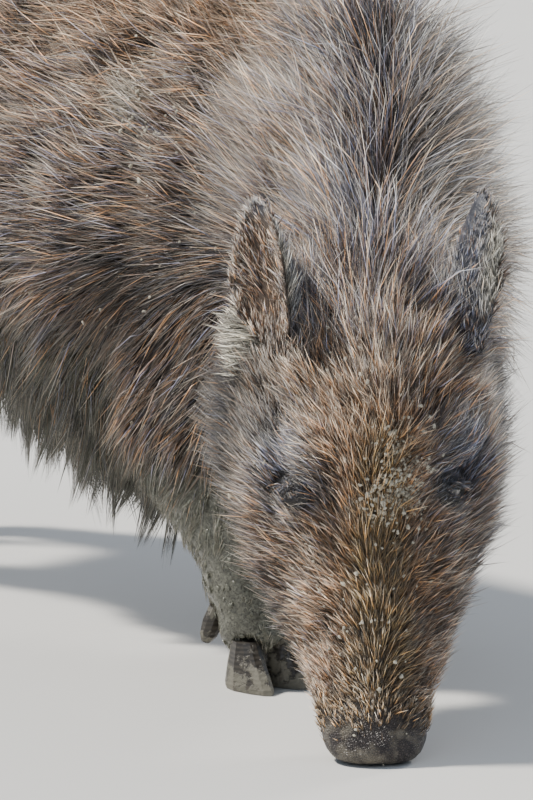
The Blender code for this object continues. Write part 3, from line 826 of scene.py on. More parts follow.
@dataclass
class Lie:
    """How the coat lies: for points on the body, its way, length, lift, depth, thickness and colour."""

    anatomy: Anatomy

    COLUMNS = (
        "fx", "fy", "fz", "length", "lift", "depth", "width", "density", "rust", "slate", "cream", "dark", "damp",
        "mud", "clump", "nude",
    )

    def at(self, points: Array, normals: Array, labels: Array) -> Array:
        """The coat's numbers at points of the body.

        Args:
            points: Where, in metres.
            normals: Which way the body faces there.
            labels: The index in PARTS of the flesh node there.

        Returns:
            A row of COLUMNS for each point.
        """
        self.points, self.normals, self.labels = points, normals, labels
        self.head = self.anatomy.to_head(points)
        gap, self.run, self.back, self.beside = off_line(points, self.anatomy.ridge())
        self.crest = bell(gap, 0.0, 0.055) * ramp(self.run, 0.06, 0.24) * ramp(self.run, 0.98, 0.72)
        self.side = np.clip(self.beside / 0.045, -1.0, 1.0)
        self.rows = {name: np.zeros(len(points)) for name in self.COLUMNS}
        self.flow = np.zeros((len(points), 3))
        self.trunk()
        self.neck()
        self.face()
        self.ears()
        self.legs()
        self.tail()
        self.marks()
        for way, column in zip(unit(self.flow).T, ("fx", "fy", "fz")):
            self.rows[column] = way
        for name in ("rust", "slate", "cream", "dark", "damp", "mud"):
            self.rows[name] = np.clip(self.rows[name], 0.0, 1.2)
        return np.stack([self.rows[name] for name in self.COLUMNS], axis=1)

    def put(self, parts: tuple[Part, ...], way: Array, **values: Array | float) -> None:
        """Sets the way and the numbers of the points of some parts.

        Args:
            parts: The parts.
            way: The coat's way at every point.
            **values: A number for all points, or one for each, by column.
        """
        mask = is_part(self.labels, *parts)
        self.flow[mask] = way[mask]
        for name, value in values.items():
            self.rows[name][mask] = value[mask] if isinstance(value, np.ndarray) else value

    def trunk(self) -> None:
        """Back towards the tail, rising a little over the shoulder and sinking over the rump."""
        y, z = self.points[:, 1], self.points[:, 2]
        rear, low, crest = ramp(y, -0.12, 0.38), ramp(z, 0.36, 0.21), self.crest
        under = ramp(-self.normals[:, 2], 0.15, 0.75)
        top = ramp(z, 0.42, 0.56)
        elbow = ball_share(self.points, Vector((-0.075, -0.20, 0.33)), 0.075)
        way = np.stack([0.12 * self.side, 1.0 - 0.55 * low, 0.46 - 0.76 * rear - 1.25 * low], axis=1)
        # Painted shade and light: dark grows on faces turned downward, as painted shade under the body, and also
        # towards the bottom; the top gets more rust and cream and less dark, as a painted sunlit top.
        self.put(
            (Part.TRUNK,), way,
            length=0.062 + 0.034 * crest + 0.024 * low + 0.008 * under, lift=np.radians(19 + 22 * crest + 15 * low),
            depth=0.016 + 0.018 * crest + 0.012 * low, width=0.00046 + 0.00024 * low, density=1.0 + 0.5 * low,
            rust=0.50 + 0.24 * top - 0.30 * low, slate=0.24 + 0.34 * crest + 0.06 * (1 - top) - 0.18 * top,
            cream=0.34 + 0.16 * (1 - top) * (1 - under) + 0.16 * top,
            dark=0.34 * under + 0.22 * elbow + 0.16 * ramp(z, 0.42, 0.30) + 0.2 * low + 0.12 * (1 - top),
            damp=1.1 * low, clump=0.32 + 1.1 * low, mud=0.08,
        )

    def neck(self) -> None:
        """From the poll up to the withers, falling away to both sides of the crest."""
        z, crest = self.points[:, 2], self.crest
        throat = ramp(z, 0.40, 0.22)
        grey, top = ramp(self.points[:, 1], -0.14, -0.30), ramp(z, 0.42, 0.56)
        left = ramp(self.beside, 0.0, 0.04)
        across = np.cross(self.back, np.array((0.0, 0.0, 1.0)))
        way = self.back * 0.85 + across * (self.side * (0.45 + 0.35 * left))[:, None]
        rise = 0.34 * (1 - throat) * (1 - left) * (1 - crest)
        way += np.stack([0 * z, 0.22 + 0 * z, rise - 0.9 * throat - 0.25 * left], axis=1)
        self.put(
            (Part.NECK,), way,
            length=0.074 + 0.034 * crest + 0.012 * left, lift=np.radians(29 + 20 * crest + 6 * left),
            depth=0.020 + 0.022 * crest, width=0.00044 + 0.00004 * crest, density=1.15 + 0.25 * crest,
            rust=0.42 + (0.10 + 0.20 * top) * (1 - grey) - 0.04 * crest,
            slate=0.34 - (0.08 + 0.18 * top) * (1 - grey) + 0.34 * crest, cream=0.34 + 0.16 * crest + 0.40 * left,
            dark=0.42 * (1 - crest) * (1 - left) + 0.45 * throat, damp=0.6 * throat,
            clump=0.34 + 0.3 * throat, mud=0.05,
        )

    def face(self) -> None:
        """Up the face from the nose, parting from the middle, outwards over the cheeks."""
        a, (hx, hy, hz) = self.anatomy, self.head.T
        out = np.clip(hx / 0.030, -1.0, 1.0)
        cheek = ramp(-hz, 0.014, 0.060) * ramp(hy, 0.05, 0.15)
        muzzle = ramp(hy, 0.14, 0.05)
        brow = ramp(hy, 0.19, 0.30) * (1 - cheek)
        poll = ramp(hy, 0.29, 0.35)
        under = ramp(-hz, 0.09, 0.15)
        ridge = bell(hx, 0.004, 0.024) * ramp(hy, 0.30, 0.20) * ramp(-hz, 0.03, 0.0)
        eye = sum(ball_share(self.points, a.eyes[s], 0.014) for s in ("left", "right"))
        lids = np.clip(sum(ball_share(self.points, a.eyes[s], 0.026) for s in ("left", "right")), 0, 1)
        left = ramp(hx, 0.010, 0.05)
        gaps = [np.linalg.norm(self.points - np.array(a.eyes[s]), axis=1) for s in ("left", "right")]
        lid = ramp(np.minimum(*gaps), 0.0205, 0.0150)
        out_way = out * (0.80 - 0.35 * brow + 0.75 * cheek + 0.35 * muzzle)
        way = a.from_head(np.stack([out_way, 1.0 - 0.45 * cheek - 0.2 * muzzle, -0.45 * cheek], axis=1))
        reach = ramp(hy, 0.04, 0.16)
        length = 0.023 + 0.012 * brow + 0.024 * poll + 0.023 * cheek * reach - 0.005 * muzzle - 0.010 * eye
        self.put(
            (Part.HEAD,), way,
            length=length * (1 - 0.60 * lid),
            lift=np.radians(23 + 12 * cheek + 4 * brow + 16 * poll),
            depth=(0.0050 + 0.0055 * brow + 0.0115 * cheek * reach + 0.010 * poll) * (1 - 0.96 * lids),
            width=0.00038 + 0.00008 * cheek + 0.00004 * brow, density=(2.0 - 0.5 * cheek) * (1 - 0.55 * lid),
            rust=0.60 + 0.42 * ridge - 0.34 * cheek - 0.15 * poll - 0.6 * lids + 0.15 * muzzle,
            slate=0.10 + 0.22 * cheek + 0.50 * lids + 0.36 * poll - 0.2 * ridge,
            cream=0.26 + 0.14 * cheek + 0.12 * poll + 0.22 * left,
            dark=0.12 + 0.30 * under + 0.26 * muzzle + 0.10 * eye + 0.04 * left + 0.74 * cheek + 0.40 * lid,
            damp=0.30 * under * muzzle, clump=0.18 + 0.12 * cheek, mud=0.12 + 0.12 * muzzle + 0.10 * cheek,
        )
        self.put(
            (Part.JAW,), a.from_head(np.stack([out * 0.6, 0.9 + 0 * out, -0.5 + 0 * out], axis=1)),
            length=0.015 + 0.018 * ramp(hy, 0.05, 0.2), lift=np.radians(28), depth=0.004 + 0.006 * ramp(hy, 0.08, 0.25),
            width=0.0007, density=1.4, rust=0.45, slate=0.2, cream=0.25, dark=0.45, damp=0.35, clump=0.4, mud=0.15,
        )
        bare = ramp(hy, 0.040, 0.022)
        self.put(
            (Part.SNOUT,), a.from_head(np.stack([out * 0.9, 0.9 + 0 * out, 0 * out], axis=1)),
            length=0.011, lift=np.radians(24), depth=0.0008 + 0.001 * (1 - bare), width=0.0006,
            density=1.4 * (1 - bare), rust=0.9, slate=0.05, cream=0.2, dark=0.25, damp=0.25, clump=0.3,
            mud=0.35, nude=bare,
        )

    def ears(self) -> None:
        """Up to the tip, leaning out at the edges, rusty in the hollow and grey behind, with painted shade deep in each
        hollow and over the whole left ear.
        """
        for ear, ear_side in EARS.items():
            root, along, opens, across = (np.array(v) for v in self.anatomy.ear_axes[ear_side])
            local = self.points - root
            sideways, rise = local @ across, local @ along
            inner = ramp(self.normals @ opens, 0.0, 0.45)
            edge = np.clip(np.abs(sideways) / 0.032, 0, 1) ** 2
            rim = inner * bell(sideways, -0.021 * ear_side, 0.009) * ramp(rise, 0.10, 0.06)
            hollow = inner * bell(sideways, -0.004 * ear_side, 0.012) * ramp(rise, 0.10, 0.02)
            way = along + across * np.clip(sideways / 0.03, -1, 1)[:, None] * 0.45
            self.put(
                (ear,), way,
                length=0.009 + 0.005 * inner + 0.009 * edge, lift=np.radians(13 + 6 * inner + 14 * edge), depth=0.0022,
                width=0.00042, density=3.4 - 0.7 * inner * (1 - edge),
                rust=0.05 + 0.76 * inner * (1 - 0.5 * edge) * bell(rise, 0.045, 0.052) + 0.25 * rim,
                slate=0.95 * (1 - 0.85 * inner) + 0.55 * ramp(rise, 0.080, 0.120),
                cream=0.30 - 0.34 * inner + 0.80 * edge + 0.60 * ramp(rise, 0.07, 0.12),
                # Painted shade: darker deep in each ear's hollow, and the left ear darker all over.
                dark=0.30 * hollow + (0.30 if ear_side > 0 else 0.0), clump=0.2, mud=0.03,
            )

    def legs(self) -> None:
        """Down and a little back, shorter towards the hoof, with wet mud low on the forelegs."""
        z = self.points[:, 2]
        foot, upper = ramp(z, 0.26, 0.10), ramp(z, 0.19, 0.27)
        ahead = ramp(-self.normals[:, 1], -0.3, 0.6)
        for leg in LEGS:
            fore = leg in (Part.FORE_RIGHT, Part.FORE_LEFT)
            wet = ramp(z, 0.25, 0.13) if fore else 0.7 * ramp(z, 0.17, 0.06)
            way = np.stack([0.05 * self.side, 0.40 + 0 * z, -1.0 + 0.55 * upper * ahead], axis=1)
            self.put(
                (leg,), way,
                length=(0.058 if fore else 0.044) - (0.043 if fore else 0.029) * foot, lift=np.radians(21 - 9 * foot),
                depth=0.012 - (0.0112 if fore else 0.0098) * foot, width=0.00075 - 0.0002 * foot,
                density=1.0 + (0.1 if fore else 0.5) * foot, rust=0.34 - 0.15 * foot, slate=0.22,
                cream=0.42 - 0.2 * wet, dark=0.22 + 0.22 * foot, damp=wet * (1.2 if fore else 0.9),
                clump=0.42 + 0.35 * wet, mud=0.10 + 0.55 * wet,
            )

    def tail(self) -> None:
        """Down, longest at the brush."""
        z = self.points[:, 2]
        self.put(
            (Part.TAIL,), np.stack([0 * z, 0.15 + 0 * z, -1.0 + 0 * z], axis=1),
            length=0.022 + 0.030 * ramp(z, 0.42, 0.32), lift=np.radians(13), depth=0.0065, width=0.0009, density=2.2,
            rust=0.4, slate=0.1, cream=0.2, dark=0.45, clump=0.4, mud=0.05,
        )

    def marks(self) -> None:
        """The dried patch on the shoulder, painted shade on the right cheek and low on the shoulder, the slate streak
        at each eye, and the elbow's swirl.
        """
        a, rows = self.anatomy, self.rows
        dried = ball_share(self.points, Vector((-0.053, -0.095, 0.462)), 0.035)
        rows["mud"] += 0.55 * dried
        rows["cream"] += 0.4 * dried
        for side in (-1.0, 1.0):
            streak = ball_share(self.points, a.in_head(0.070 * side, 0.232, -0.004), 0.020)
            rows["slate"] += 0.7 * streak
            rows["rust"] -= 0.6 * streak
        # Painted shade: patches darkened on the right cheek towards the ear, and low on the front of the shoulder.
        painted_shade = (
            (a.in_head(-0.088, 0.275, -0.050), 0.040, 0.35), (a.in_head(-0.095, 0.24, -0.07), 0.040, 0.35),
            (a.in_head(-0.085, 0.258, -0.014), 0.030, 1.0), (Vector((-0.053, -0.193, 0.386)), 0.060, 0.30),
        )
        for spot, reach, much in painted_shade:
            rows["dark"] += much * ball_share(self.points, spot, reach)
        rows["mud"] += 0.40 * ball_share(self.points, a.in_head(0.022, 0.214, 0.006), 0.020)
        swirl = ball_share(self.points, Vector((-0.075, -0.11, 0.315)), 0.05)
        rows["dark"] += 0.55 * swirl
        rows["rust"] += 0.2 * swirl
        self.flow[:, 2] -= 0.5 * swirl


# ---- skin -----------------------------------------------------------------------------------------


@dataclass
class Skin:
    """One skin over the whole body, inside the solids by the coat's depth."""

    anatomy: Anatomy
    voxel: float = 0.00485
    grown: float = 0.0008
    melt_turns: int = 9
    even_turns: tuple[int, int] = (14, 10)
    fine_round_eyes: tuple[float, float] = (0.034, 0.027)
    fine_round_nose: float = 0.024
    mouth_depth: float = 0.0045
    eye_radius: float = 0.0125
    lid_thick: float = 0.0017
    slit: tuple[float, float] = (0.78, 0.40)
    nostril_place: tuple[float, float] = (0.0125, -0.038)
    nostril_half: tuple[float, float] = (0.0050, 0.0066)
    nostril_depth: float = 0.010
    obj: bpy.types.Object = field(init=False)
    fields: Array = field(init=False)
    labels: Array = field(init=False)

    def build(self) -> bpy.types.Object:
        """Makes the skin and reads the coat's lie on it.

        Returns:
            The skin.
        """
        self.obj = self.gather()
        self.melt()
        self.read_fields()
        self.sink()
        self.dress()
        return settle(self.obj, "hide", *[p.value for p in PARTS])

    def gather(self) -> bpy.types.Object:
        """Copies the flesh nodes and the eyes, closes their gaps and joins them.

        Returns:
            The joined copy.
        """
        copies = []
        for name in [part.value for part in PARTS] + ["eye_right", "eye_left"]:
            copy = bpy.data.objects[name].copy()
            copy.data = copy.data.copy()
            copy.parent = None
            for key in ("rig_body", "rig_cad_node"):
                del copy[key]
            bpy.context.scene.collection.objects.link(copy)
            pick_only(copy)
            bpy.ops.object.mode_set(mode="EDIT")
            bpy.ops.mesh.select_all(action="SELECT")
            bpy.ops.mesh.remove_doubles(threshold=0.00001)
            bpy.ops.object.mode_set(mode="OBJECT")
            copy.data.shade_smooth()
            apply_modifier(copy, "DISPLACE", strength=self.grown, mid_level=0.0)
            copies.append(copy)
        pick_only(*copies)
        bpy.ops.object.join()
        joined = bpy.context.view_layer.objects.active
        joined.name = joined.data.name = "boar_skin"
        joined.data.materials.clear()
        return joined

    def melt(self) -> None:
        """Makes the joined forms one surface."""
        apply_modifier(self.obj, "REMESH", mode="VOXEL", voxel_size=self.voxel, use_smooth_shade=True)
        mesh = self.obj.data
        points = mesh_points(mesh)
        even = smooth_over(points, mesh_edges(mesh), self.melt_turns)
        set_points(mesh, even + (points - even) * (0.8 * self.ear_share(points, 0.005))[:, None])
        self.refine()

    def ear_share(self, points: Array, start: float) -> Array:
        """Which points are on an ear.

        Args:
            points: The points.
            start: How far up the ear it begins.

        Returns:
            1 on an ear and 0 off it.
        """
        share = np.zeros(len(points))
        for side in EARS.values():
            root, along, _, _ = self.anatomy.ear_axes[side]
            local = points - np.array(root)
            rise = local @ np.array(along)
            away = np.linalg.norm(local - rise[:, None] * np.array(along), axis=1)
            share = np.maximum(share, ramp(rise, start - 0.010, start + 0.008) * ramp(away, 0.060, 0.045))
        return share

    def refine(self) -> None:
        """Gives the skin finer faces round the eyes, for the lids, and on the nose disc, for the nostrils."""
        pick_only(self.obj)
        nose = self.anatomy.in_head(0.0, 0.002, self.nostril_place[1])
        for reach in self.fine_round_eyes:
            bpy.ops.object.mode_set(mode="EDIT")
            bpy.ops.mesh.select_all(action="DESELECT")
            work = bmesh.from_edit_mesh(self.obj.data)
            spots = [(spot, reach) for spot in self.anatomy.eyes.values()] + [(nose, self.fine_round_nose)]
            for face in work.faces:
                middle = face.calc_center_median()
                face.select_set(any((middle - spot).length < around for spot, around in spots))
            bmesh.update_edit_mesh(self.obj.data)
            bpy.ops.mesh.subdivide(number_cuts=1, smoothness=0.0)
            bpy.ops.object.mode_set(mode="OBJECT")

    def read_fields(self) -> None:
        """Names the flesh node under each vertex, and reads and evens the coat's numbers there."""
        tree_points, owners = [], []
        for i, part in enumerate(PARTS):
            mesh = bpy.data.objects[part.value].data
            corners = np.unique(np.round(mesh_points(mesh), 6), axis=0)
            spots = np.concatenate([read_rows(mesh.polygons, "center", 3), corners])
            tree_points.append(spots)
            owners += [i] * len(spots)
        spots = np.concatenate(tree_points)
        tree = kdtree.KDTree(len(spots))
        for i, spot in enumerate(spots):
            tree.insert(spot, i)
        tree.balance()
        points = mesh_points(self.obj.data)
        self.labels = np.array([owners[tree.find(p)[1]] for p in points])
        lie = Lie(self.anatomy).at(points, mesh_normals(self.obj.data), self.labels)
        edges = mesh_edges(self.obj.data)
        sharp = smooth_over(lie, edges, 2)
        lie[:, :7] = smooth_over(lie[:, :7], edges, self.even_turns[0])
        lie[:, 7:] = smooth_over(lie[:, 7:], edges, self.even_turns[1])
        lie += (sharp - lie) * self.ear_share(points, 0.030)[:, None]
        poll = ball_share(points, self.anatomy.in_head(0.0, 0.36, -0.01), 0.055)[:, None]
        lie += (smooth_over(lie, edges, 90) - lie) * np.clip(1.6 * poll, 0, 1)
        self.fields = lie

    def sink(self) -> None:
        """Draws the surface in by the coat's depth and shapes the mouth and the nostrils."""
        mesh = self.obj.data
        points, normals = mesh_points(mesh), mesh_normals(mesh)
        normals = unit(smooth_over(normals, mesh_edges(mesh), 3))
        depth = self.fields[:, Lie.COLUMNS.index("depth")] + self.grown
        head = self.anatomy.to_head(points)
        line = np.abs(head[:, 2] + 0.055 + 0.33 * np.clip(head[:, 1] - 0.03, 0, 1))
        mouth = bell(line, 0.0, 0.0055) * ramp(head[:, 1], 0.018, 0.035) * ramp(head[:, 1], 0.155, 0.12)
        mouth *= np.abs(head[:, 0]) > 0.02
        depth = depth + self.mouth_depth * mouth
        points = points - normals * depth[:, None]
        points = smooth_over(points, mesh_edges(mesh), 2)
        damp = self.fields[:, Lie.COLUMNS.index("damp")]
        lumps = waves(points, 0.030, 11) * 0.0012 + waves(points, 0.013, 12) * 0.0007
        points += normals * (lumps * np.clip(damp, 0, 1))[:, None]
        inward = self.anatomy.from_head(np.array((0.0, self.nostril_depth, 0.0)))
        for name, side in (("right", -1.0), ("left", 1.0)):
            points = self.lids(points, self.anatomy.eyes[name], side)
            aside = (head[:, 0] - self.nostril_place[0] * side) / self.nostril_half[0]
            above = (head[:, 2] - self.nostril_place[1]) / self.nostril_half[1]
            pit = ramp(np.hypot(aside, above), 1.25, 0.55) * ramp(head[:, 1], 0.018, 0.012)
            points = points + inward * pit[:, None]
        set_points(mesh, points)

    def lids(self, points: Array, centre: Vector, side: float) -> Array:
        """Shapes two lids over an eyeball, with a narrow opening and folds round them.

        Args:
            points: The skin's vertices.
            centre: The eyeball's centre.
            side: Which side it is on.

        Returns:
            The shaped vertices.
        """
        looks, level, upright = (np.array(v) for v in self.anatomy.eye_axes(side))
        local = points - np.array(centre)
        far = np.linalg.norm(local, axis=1)
        way = local / far[:, None]
        deep, wide, high = way @ looks, way @ level, way @ upright
        front = ramp(deep, -0.05, 0.25)
        lid, (slit_wide, slit_high) = self.eye_radius + self.lid_thick, self.slit
        near = ramp(far, 0.030, 0.017) * front
        target = np.maximum(far, lid + 0.0012 * bell(far, lid, 0.004))
        folds = 0.0007 * np.sin(far * 1500.0) * bell(far, 0.020, 0.0045)
        half = slit_high * np.clip(1 - (wide / slit_wide) ** 2, 0, 1)
        above = np.where(high > -0.10, (high + 0.10) / 0.62, -(high + 0.10) / 0.85)
        inside = ramp(half - above, -0.02, 0.09) * (half > 0.01) * (deep > 0.3)
        rim = bell(above - half, 0.05, 0.09) * (np.abs(wide) < slit_wide) * (deep > 0.2)
        reach = far + (target - far) * near + (folds + 0.0011 * rim * (far < lid + 0.006)) * front
        reach = reach + (self.eye_radius - 0.0016 - reach) * inside * (far < lid + 0.006)
        return np.array(centre) + way * reach[:, None]

    def dress(self) -> None:
        """Gives the skin the coat's markings."""
        mesh = self.obj.data
        col = {name: self.fields[:, i] for i, name in enumerate(Lie.COLUMNS)}
        write_colour(mesh, "zone", np.stack([col["rust"], col["slate"], col["cream"] * 0.4, col["dark"]], axis=1))
        along = 0.30 + 0.45 * self.ear_share(mesh_points(mesh), 0.010)
        own = np.full(len(mesh.vertices), 0.45)
        write_colour(mesh, "state", np.stack([along, own, col["damp"], col["mud"]], axis=1))
        nude = mesh.attributes.new("nude", "FLOAT", "POINT")
        nude.data.foreach_set("value", col["nude"].astype(np.float32))
        mesh.materials.clear()
        mesh.materials.append(HideFinish().material())
        mesh.shade_smooth()


# ---- coat -----------------------------------------------------------------------------------------


@dataclass
class Patch:
    """A stretch of the coat: which faces it grows on, by middle and flesh node, and how many tufts it has."""

    name: str
    covers: Cover
    tufts: int
    rings: int = 1
    longer: float = 1.0
    wander: float = 0.16
    seed: int = 1
    locks: float = 0.14
    guards: float = 0.22
    way: Place | None = None
    values: dict[str, float] = field(default_factory=dict)


@dataclass
class Coat:
    """Tufts over the skin, each a thin closed blade that tapers to its tip."""

    skin: Skin
    buried: float = 0.0015
    patch_size: float = 0.003
    thick: float = 0.55
    reach: float = 0.012
    floor_gap: float = 0.0006
    lowest_lift: float = math.radians(5)
    lock_width: float = 3.7
    lock_thick: float = 0.22
    lock_lift: float = 0.62
    guard_width: float = 1.5
    guard_length: float = 1.18
    guard_lift: float = 1.12
    under_lift: float = 0.95
    stray_share: float = 0.03
    stray_lift: float = 1.6

    def __post_init__(self) -> None:
        """Reads the skin's shape once."""
        mesh = self.skin.obj.data
        mesh.calc_loop_triangles()
        self.tris = read_rows(mesh.loop_triangles, "vertices", 3, np.int32)
        self.points = mesh_points(mesh)
        self.normals = unit(mesh_normals(mesh))
        corners = self.points[self.tris]
        fans = np.cross(corners[:, 1] - corners[:, 0], corners[:, 2] - corners[:, 0])
        self.areas = np.linalg.norm(fans, axis=1) / 2
        self.middles = corners.mean(axis=1)
        self.face_labels = self.skin.labels[self.tris[:, 0]]
        self.low, self.high = self.skin.anatomy.box

    def unwrap(self, faces: Array) -> Array:
        """Lays a stretch of skin out flat.

        Args:
            faces: Indices of its triangles.

        Returns:
            The layout's corners for each triangle.
        """
        used, index = np.unique(self.tris[faces], return_inverse=True)
        mesh = bpy.data.meshes.new("layout")
        fill_mesh(mesh, self.points[used], index.reshape(-1, 3))
        obj = bpy.data.objects.new("layout", mesh)
        bpy.context.scene.collection.objects.link(obj)
        mesh.uv_layers.new(name="layout")
        pick_only(obj)
        bpy.ops.object.mode_set(mode="EDIT")
        bpy.ops.mesh.select_all(action="SELECT")
        bpy.ops.uv.smart_project(angle_limit=math.radians(72), island_margin=0.008, scale_to_bounds=True)
        bpy.ops.object.mode_set(mode="OBJECT")
        flat = read_rows(mesh.uv_layers["layout"].data, "uv", 2)
        bpy.data.objects.remove(obj)
        bpy.data.meshes.remove(mesh)
        return flat.reshape(-1, 3, 2)

    def grow(self, patch: Patch) -> bpy.types.Object:
        """Grows one stretch of the coat.

        Args:
            patch: Which stretch.

        Returns:
            The coat piece.
        """
        rng = np.random.default_rng(patch.seed)
        faces = np.flatnonzero(patch.covers(self.middles, self.face_labels))
        density = self.skin.fields[self.tris[faces], Lie.COLUMNS.index("density")].mean(axis=1)
        weight = self.areas[faces] * np.maximum(density, 0.0)
        layout = self.unwrap(faces)
        chosen = rng.choice(len(faces), patch.tufts, p=weight / weight.sum())
        a, b = rng.random(patch.tufts), rng.random(patch.tufts)
        over = a + b > 1
        a[over], b[over] = 1 - a[over], 1 - b[over]
        share = np.stack([1 - a - b, a, b], axis=1)[:, :, None]
        corners = self.tris[faces[chosen]]
        root = (self.points[corners] * share).sum(axis=1)
        normal = unit((self.normals[corners] * share).sum(axis=1))
        lie = (self.skin.fields[corners] * share).sum(axis=1)
        spot = (layout[chosen] * share).sum(axis=1)
        if patch.way:
            lie[:, :3] = patch.way
        for name, value in patch.values.items():
            lie[:, Lie.COLUMNS.index(name)] = value
        return self.blades(patch, rng, root, normal, lie, spot)

    def blades(
        self, patch: Patch, rng: np.random.Generator, root: Array, normal: Array, lie: Array, spot: Array
    ) -> bpy.types.Object:
        """Makes the tufts of one stretch.

        Args:
            patch: The stretch.
            rng: Its source of chance.
            root: Where each tuft grows.
            normal: Which way the skin faces there.
            lie: The coat's numbers there.
            spot: Each root's place on the layout.

        Returns:
            The coat piece.
        """
        count = len(root)
        col = {name: lie[:, i] for i, name in enumerate(Lie.COLUMNS)}
        flow = lie[:, :3]
        flow = unit(flow - normal * (flow * normal).sum(axis=1, keepdims=True))
        side = np.cross(normal, flow)
        own = rng.random(count)
        lock = rng.random(count) < patch.locks
        guard = ~lock & (rng.random(count) < patch.guards)
        length = col["length"] * patch.longer * rng.uniform(0.55, 1.20, count) * (1 + 0.15 * waves(root, 0.05, 3))
        length *= np.where(guard, self.guard_length, 1.0)
        yaw = rng.normal(0, patch.wander, count) + 0.22 * waves(root, 0.09, 5) + 0.16 * waves(root, 0.03, 6)
        lift = col["lift"] * rng.uniform(0.50, 1.45, count) + 0.10 * waves(root, 0.06, 7)
        stray = np.where(rng.random(count) < self.stray_share, self.stray_lift, 1.0)
        lift *= np.where(lock, self.lock_lift, np.where(guard, self.guard_lift, self.under_lift)) * stray
        lift = np.maximum(lift, self.lowest_lift)
        shares = np.array({1: (0.0, 0.42, 1.0), 2: (0.0, 0.30, 0.66, 1.0)}[patch.rings])
        soak = np.clip(col["damp"], 0.0, 1.0)
        bend = rng.normal(0, 0.34, count) + 0.25 * waves(root, 0.02, 9)
        path = [root - normal * self.buried]
        for k in range(len(shares) - 1):
            middle = (shares[k] + shares[k + 1]) / 2
            rise = lift * (1.40 - 0.85 * middle)
            turned = yaw + bend * middle
            way = flow * (np.cos(rise) * np.cos(turned))[:, None] + side * (np.cos(rise) * np.sin(turned))[:, None]
            way += normal * np.sin(rise)[:, None]
            way[:, 2] -= (0.24 + 1.3 * soak) * middle * np.clip(length / 0.05, 0, 1.5)
            path.append(path[-1] + unit(way) * (length * (shares[k + 1] - shares[k]))[:, None])
        path = np.stack(path, axis=1)
        path = self.gather_tufts(path, shares, col["clump"] * 0.55, rng, 70, 0.030)
        path = self.gather_tufts(path, shares, col["clump"], rng, 9, 0.012 + 0.014 * soak)
        path = np.clip(path, self.low - self.reach, self.high + self.reach)
        path[:, :, 2] = np.maximum(path[:, :, 2], self.floor_gap)
        width = col["width"] * rng.uniform(0.65, 1.3, count)
        width *= np.where(lock, self.lock_width, np.where(guard, self.guard_width, 1.0))
        mesh = bpy.data.meshes.new(patch.name)
        chance = rng.normal(size=(count, 3))
        chance[lock] = normal[lock] + 0.18 * chance[lock]
        self.fill(mesh, path, width, np.where(lock, self.lock_thick, self.thick), shares, unit(chance), spot)
        each = 3 * patch.rings + 2
        along = np.tile(np.concatenate([[0.0], np.repeat(shares[1:-1], 3), [1.0]]), count)
        sides = np.tile(np.concatenate([[0.0], np.tile((-1.0, 0.0, 1.0), patch.rings), [0.0]]), count)
        rows = np.repeat(np.arange(count), each)
        own = np.where(guard, 0.80 + 0.19 * own, 0.08 + 0.58 * own)[rows] + sides * np.where(lock, 0.07, 0.0)[rows]
        write_colour(mesh, "zone", np.stack([col[n][rows] for n in ("rust", "slate", "cream", "dark")], axis=1))
        write_colour(mesh, "state", np.stack([along, own, col["damp"][rows], col["mud"][rows]], axis=1))
        mesh.materials.append(HairFinish().material())
        obj = bpy.data.objects.new(patch.name, mesh)
        bpy.context.scene.collection.objects.link(obj)
        return settle(obj, "hide")

    def gather_tufts(
        self, path: Array, shares: Array, clump: Array, rng: np.random.Generator, each: int, reach: float | Array
    ) -> Array:
        """Draws neighbouring tips together into locks.

        Args:
            path: Each tuft's line of points.
            shares: How far along each point is.
            clump: How strongly each tuft is drawn in.
            rng: The source of chance.
            each: How many tufts one lock holds.
            reach: How far apart its roots may be.

        Returns:
            The drawn lines.
        """
        count = len(path)
        leaders = rng.choice(count, max(1, count // each), replace=False)
        tree = kdtree.KDTree(len(leaders))
        for leader in leaders:
            tree.insert(path[leader, 0], int(leader))
        tree.balance()
        follow = np.array([tree.find(p)[1] for p in path[:, 0]])
        pull = np.clip(clump * rng.uniform(0.3, 1.5, count), 0.0, 0.94)[:, None] * shares[None, :] ** 1.3
        offset = path[follow, 0] - path[:, 0]
        near = np.exp(-((np.linalg.norm(offset, axis=1) / reach) ** 2))[:, None]
        return path + (path[follow] - path) * (pull * near)[:, :, None]

    def fill(
        self, mesh: bpy.types.Mesh, path: Array, width: Array, thick: Array, shares: Array, upward: Array, spot: Array
    ) -> None:
        """Writes the blades' vertices, faces and layout.

        Args:
            mesh: The mesh to fill.
            path: Each blade's line of points.
            width: Each blade's width.
            thick: Each blade's thickness as a share of half its width.
            shares: How far along each point is.
            upward: The way each blade's ridge faces.
            spot: Each root's place on the skin's layout.
        """
        count, rings = len(path), len(shares) - 2
        rows = [path[:, :1]]
        axis = unit(path[:, -1] - path[:, 0])
        across = unit(np.cross(axis, upward))
        up = np.cross(across, axis)
        for k in range(1, rings + 1):
            half = (width * (0.5 if k == 1 else 0.36))[:, None]
            centre = path[:, k]
            ring = [centre + across * half, centre + up * half * thick[:, None] * 2, centre - across * half]
            rows.append(np.stack(ring, axis=1))
        rows.append(path[:, -1:])
        points = np.concatenate(rows, axis=1)
        each = points.shape[1]
        pattern = [(0, 1 + (j + 1) % 3, 1 + j) for j in range(3)]
        for k in range(rings - 1):
            low, high = 1 + 3 * k, 4 + 3 * k
            for j in range(3):
                m = (j + 1) % 3
                pattern += [(low + j, low + m, high + m), (low + j, high + m, high + j)]
        last = 1 + 3 * (rings - 1)
        pattern += [(last + j, last + (j + 1) % 3, each - 1) for j in range(3)]
        pattern = np.array(pattern)
        faces = (pattern[None] + (np.arange(count) * each)[:, None, None]).reshape(-1, 3)
        fill_mesh(mesh, points.reshape(-1, 3), faces)
        r = self.patch_size / 2
        rise = (shares - 0.5) * 2 * r
        flat = [(0.0, rise[0])]
        for k in range(1, rings + 1):
            flat += [(-r, rise[k]), (0.0, rise[k]), (r, rise[k])]
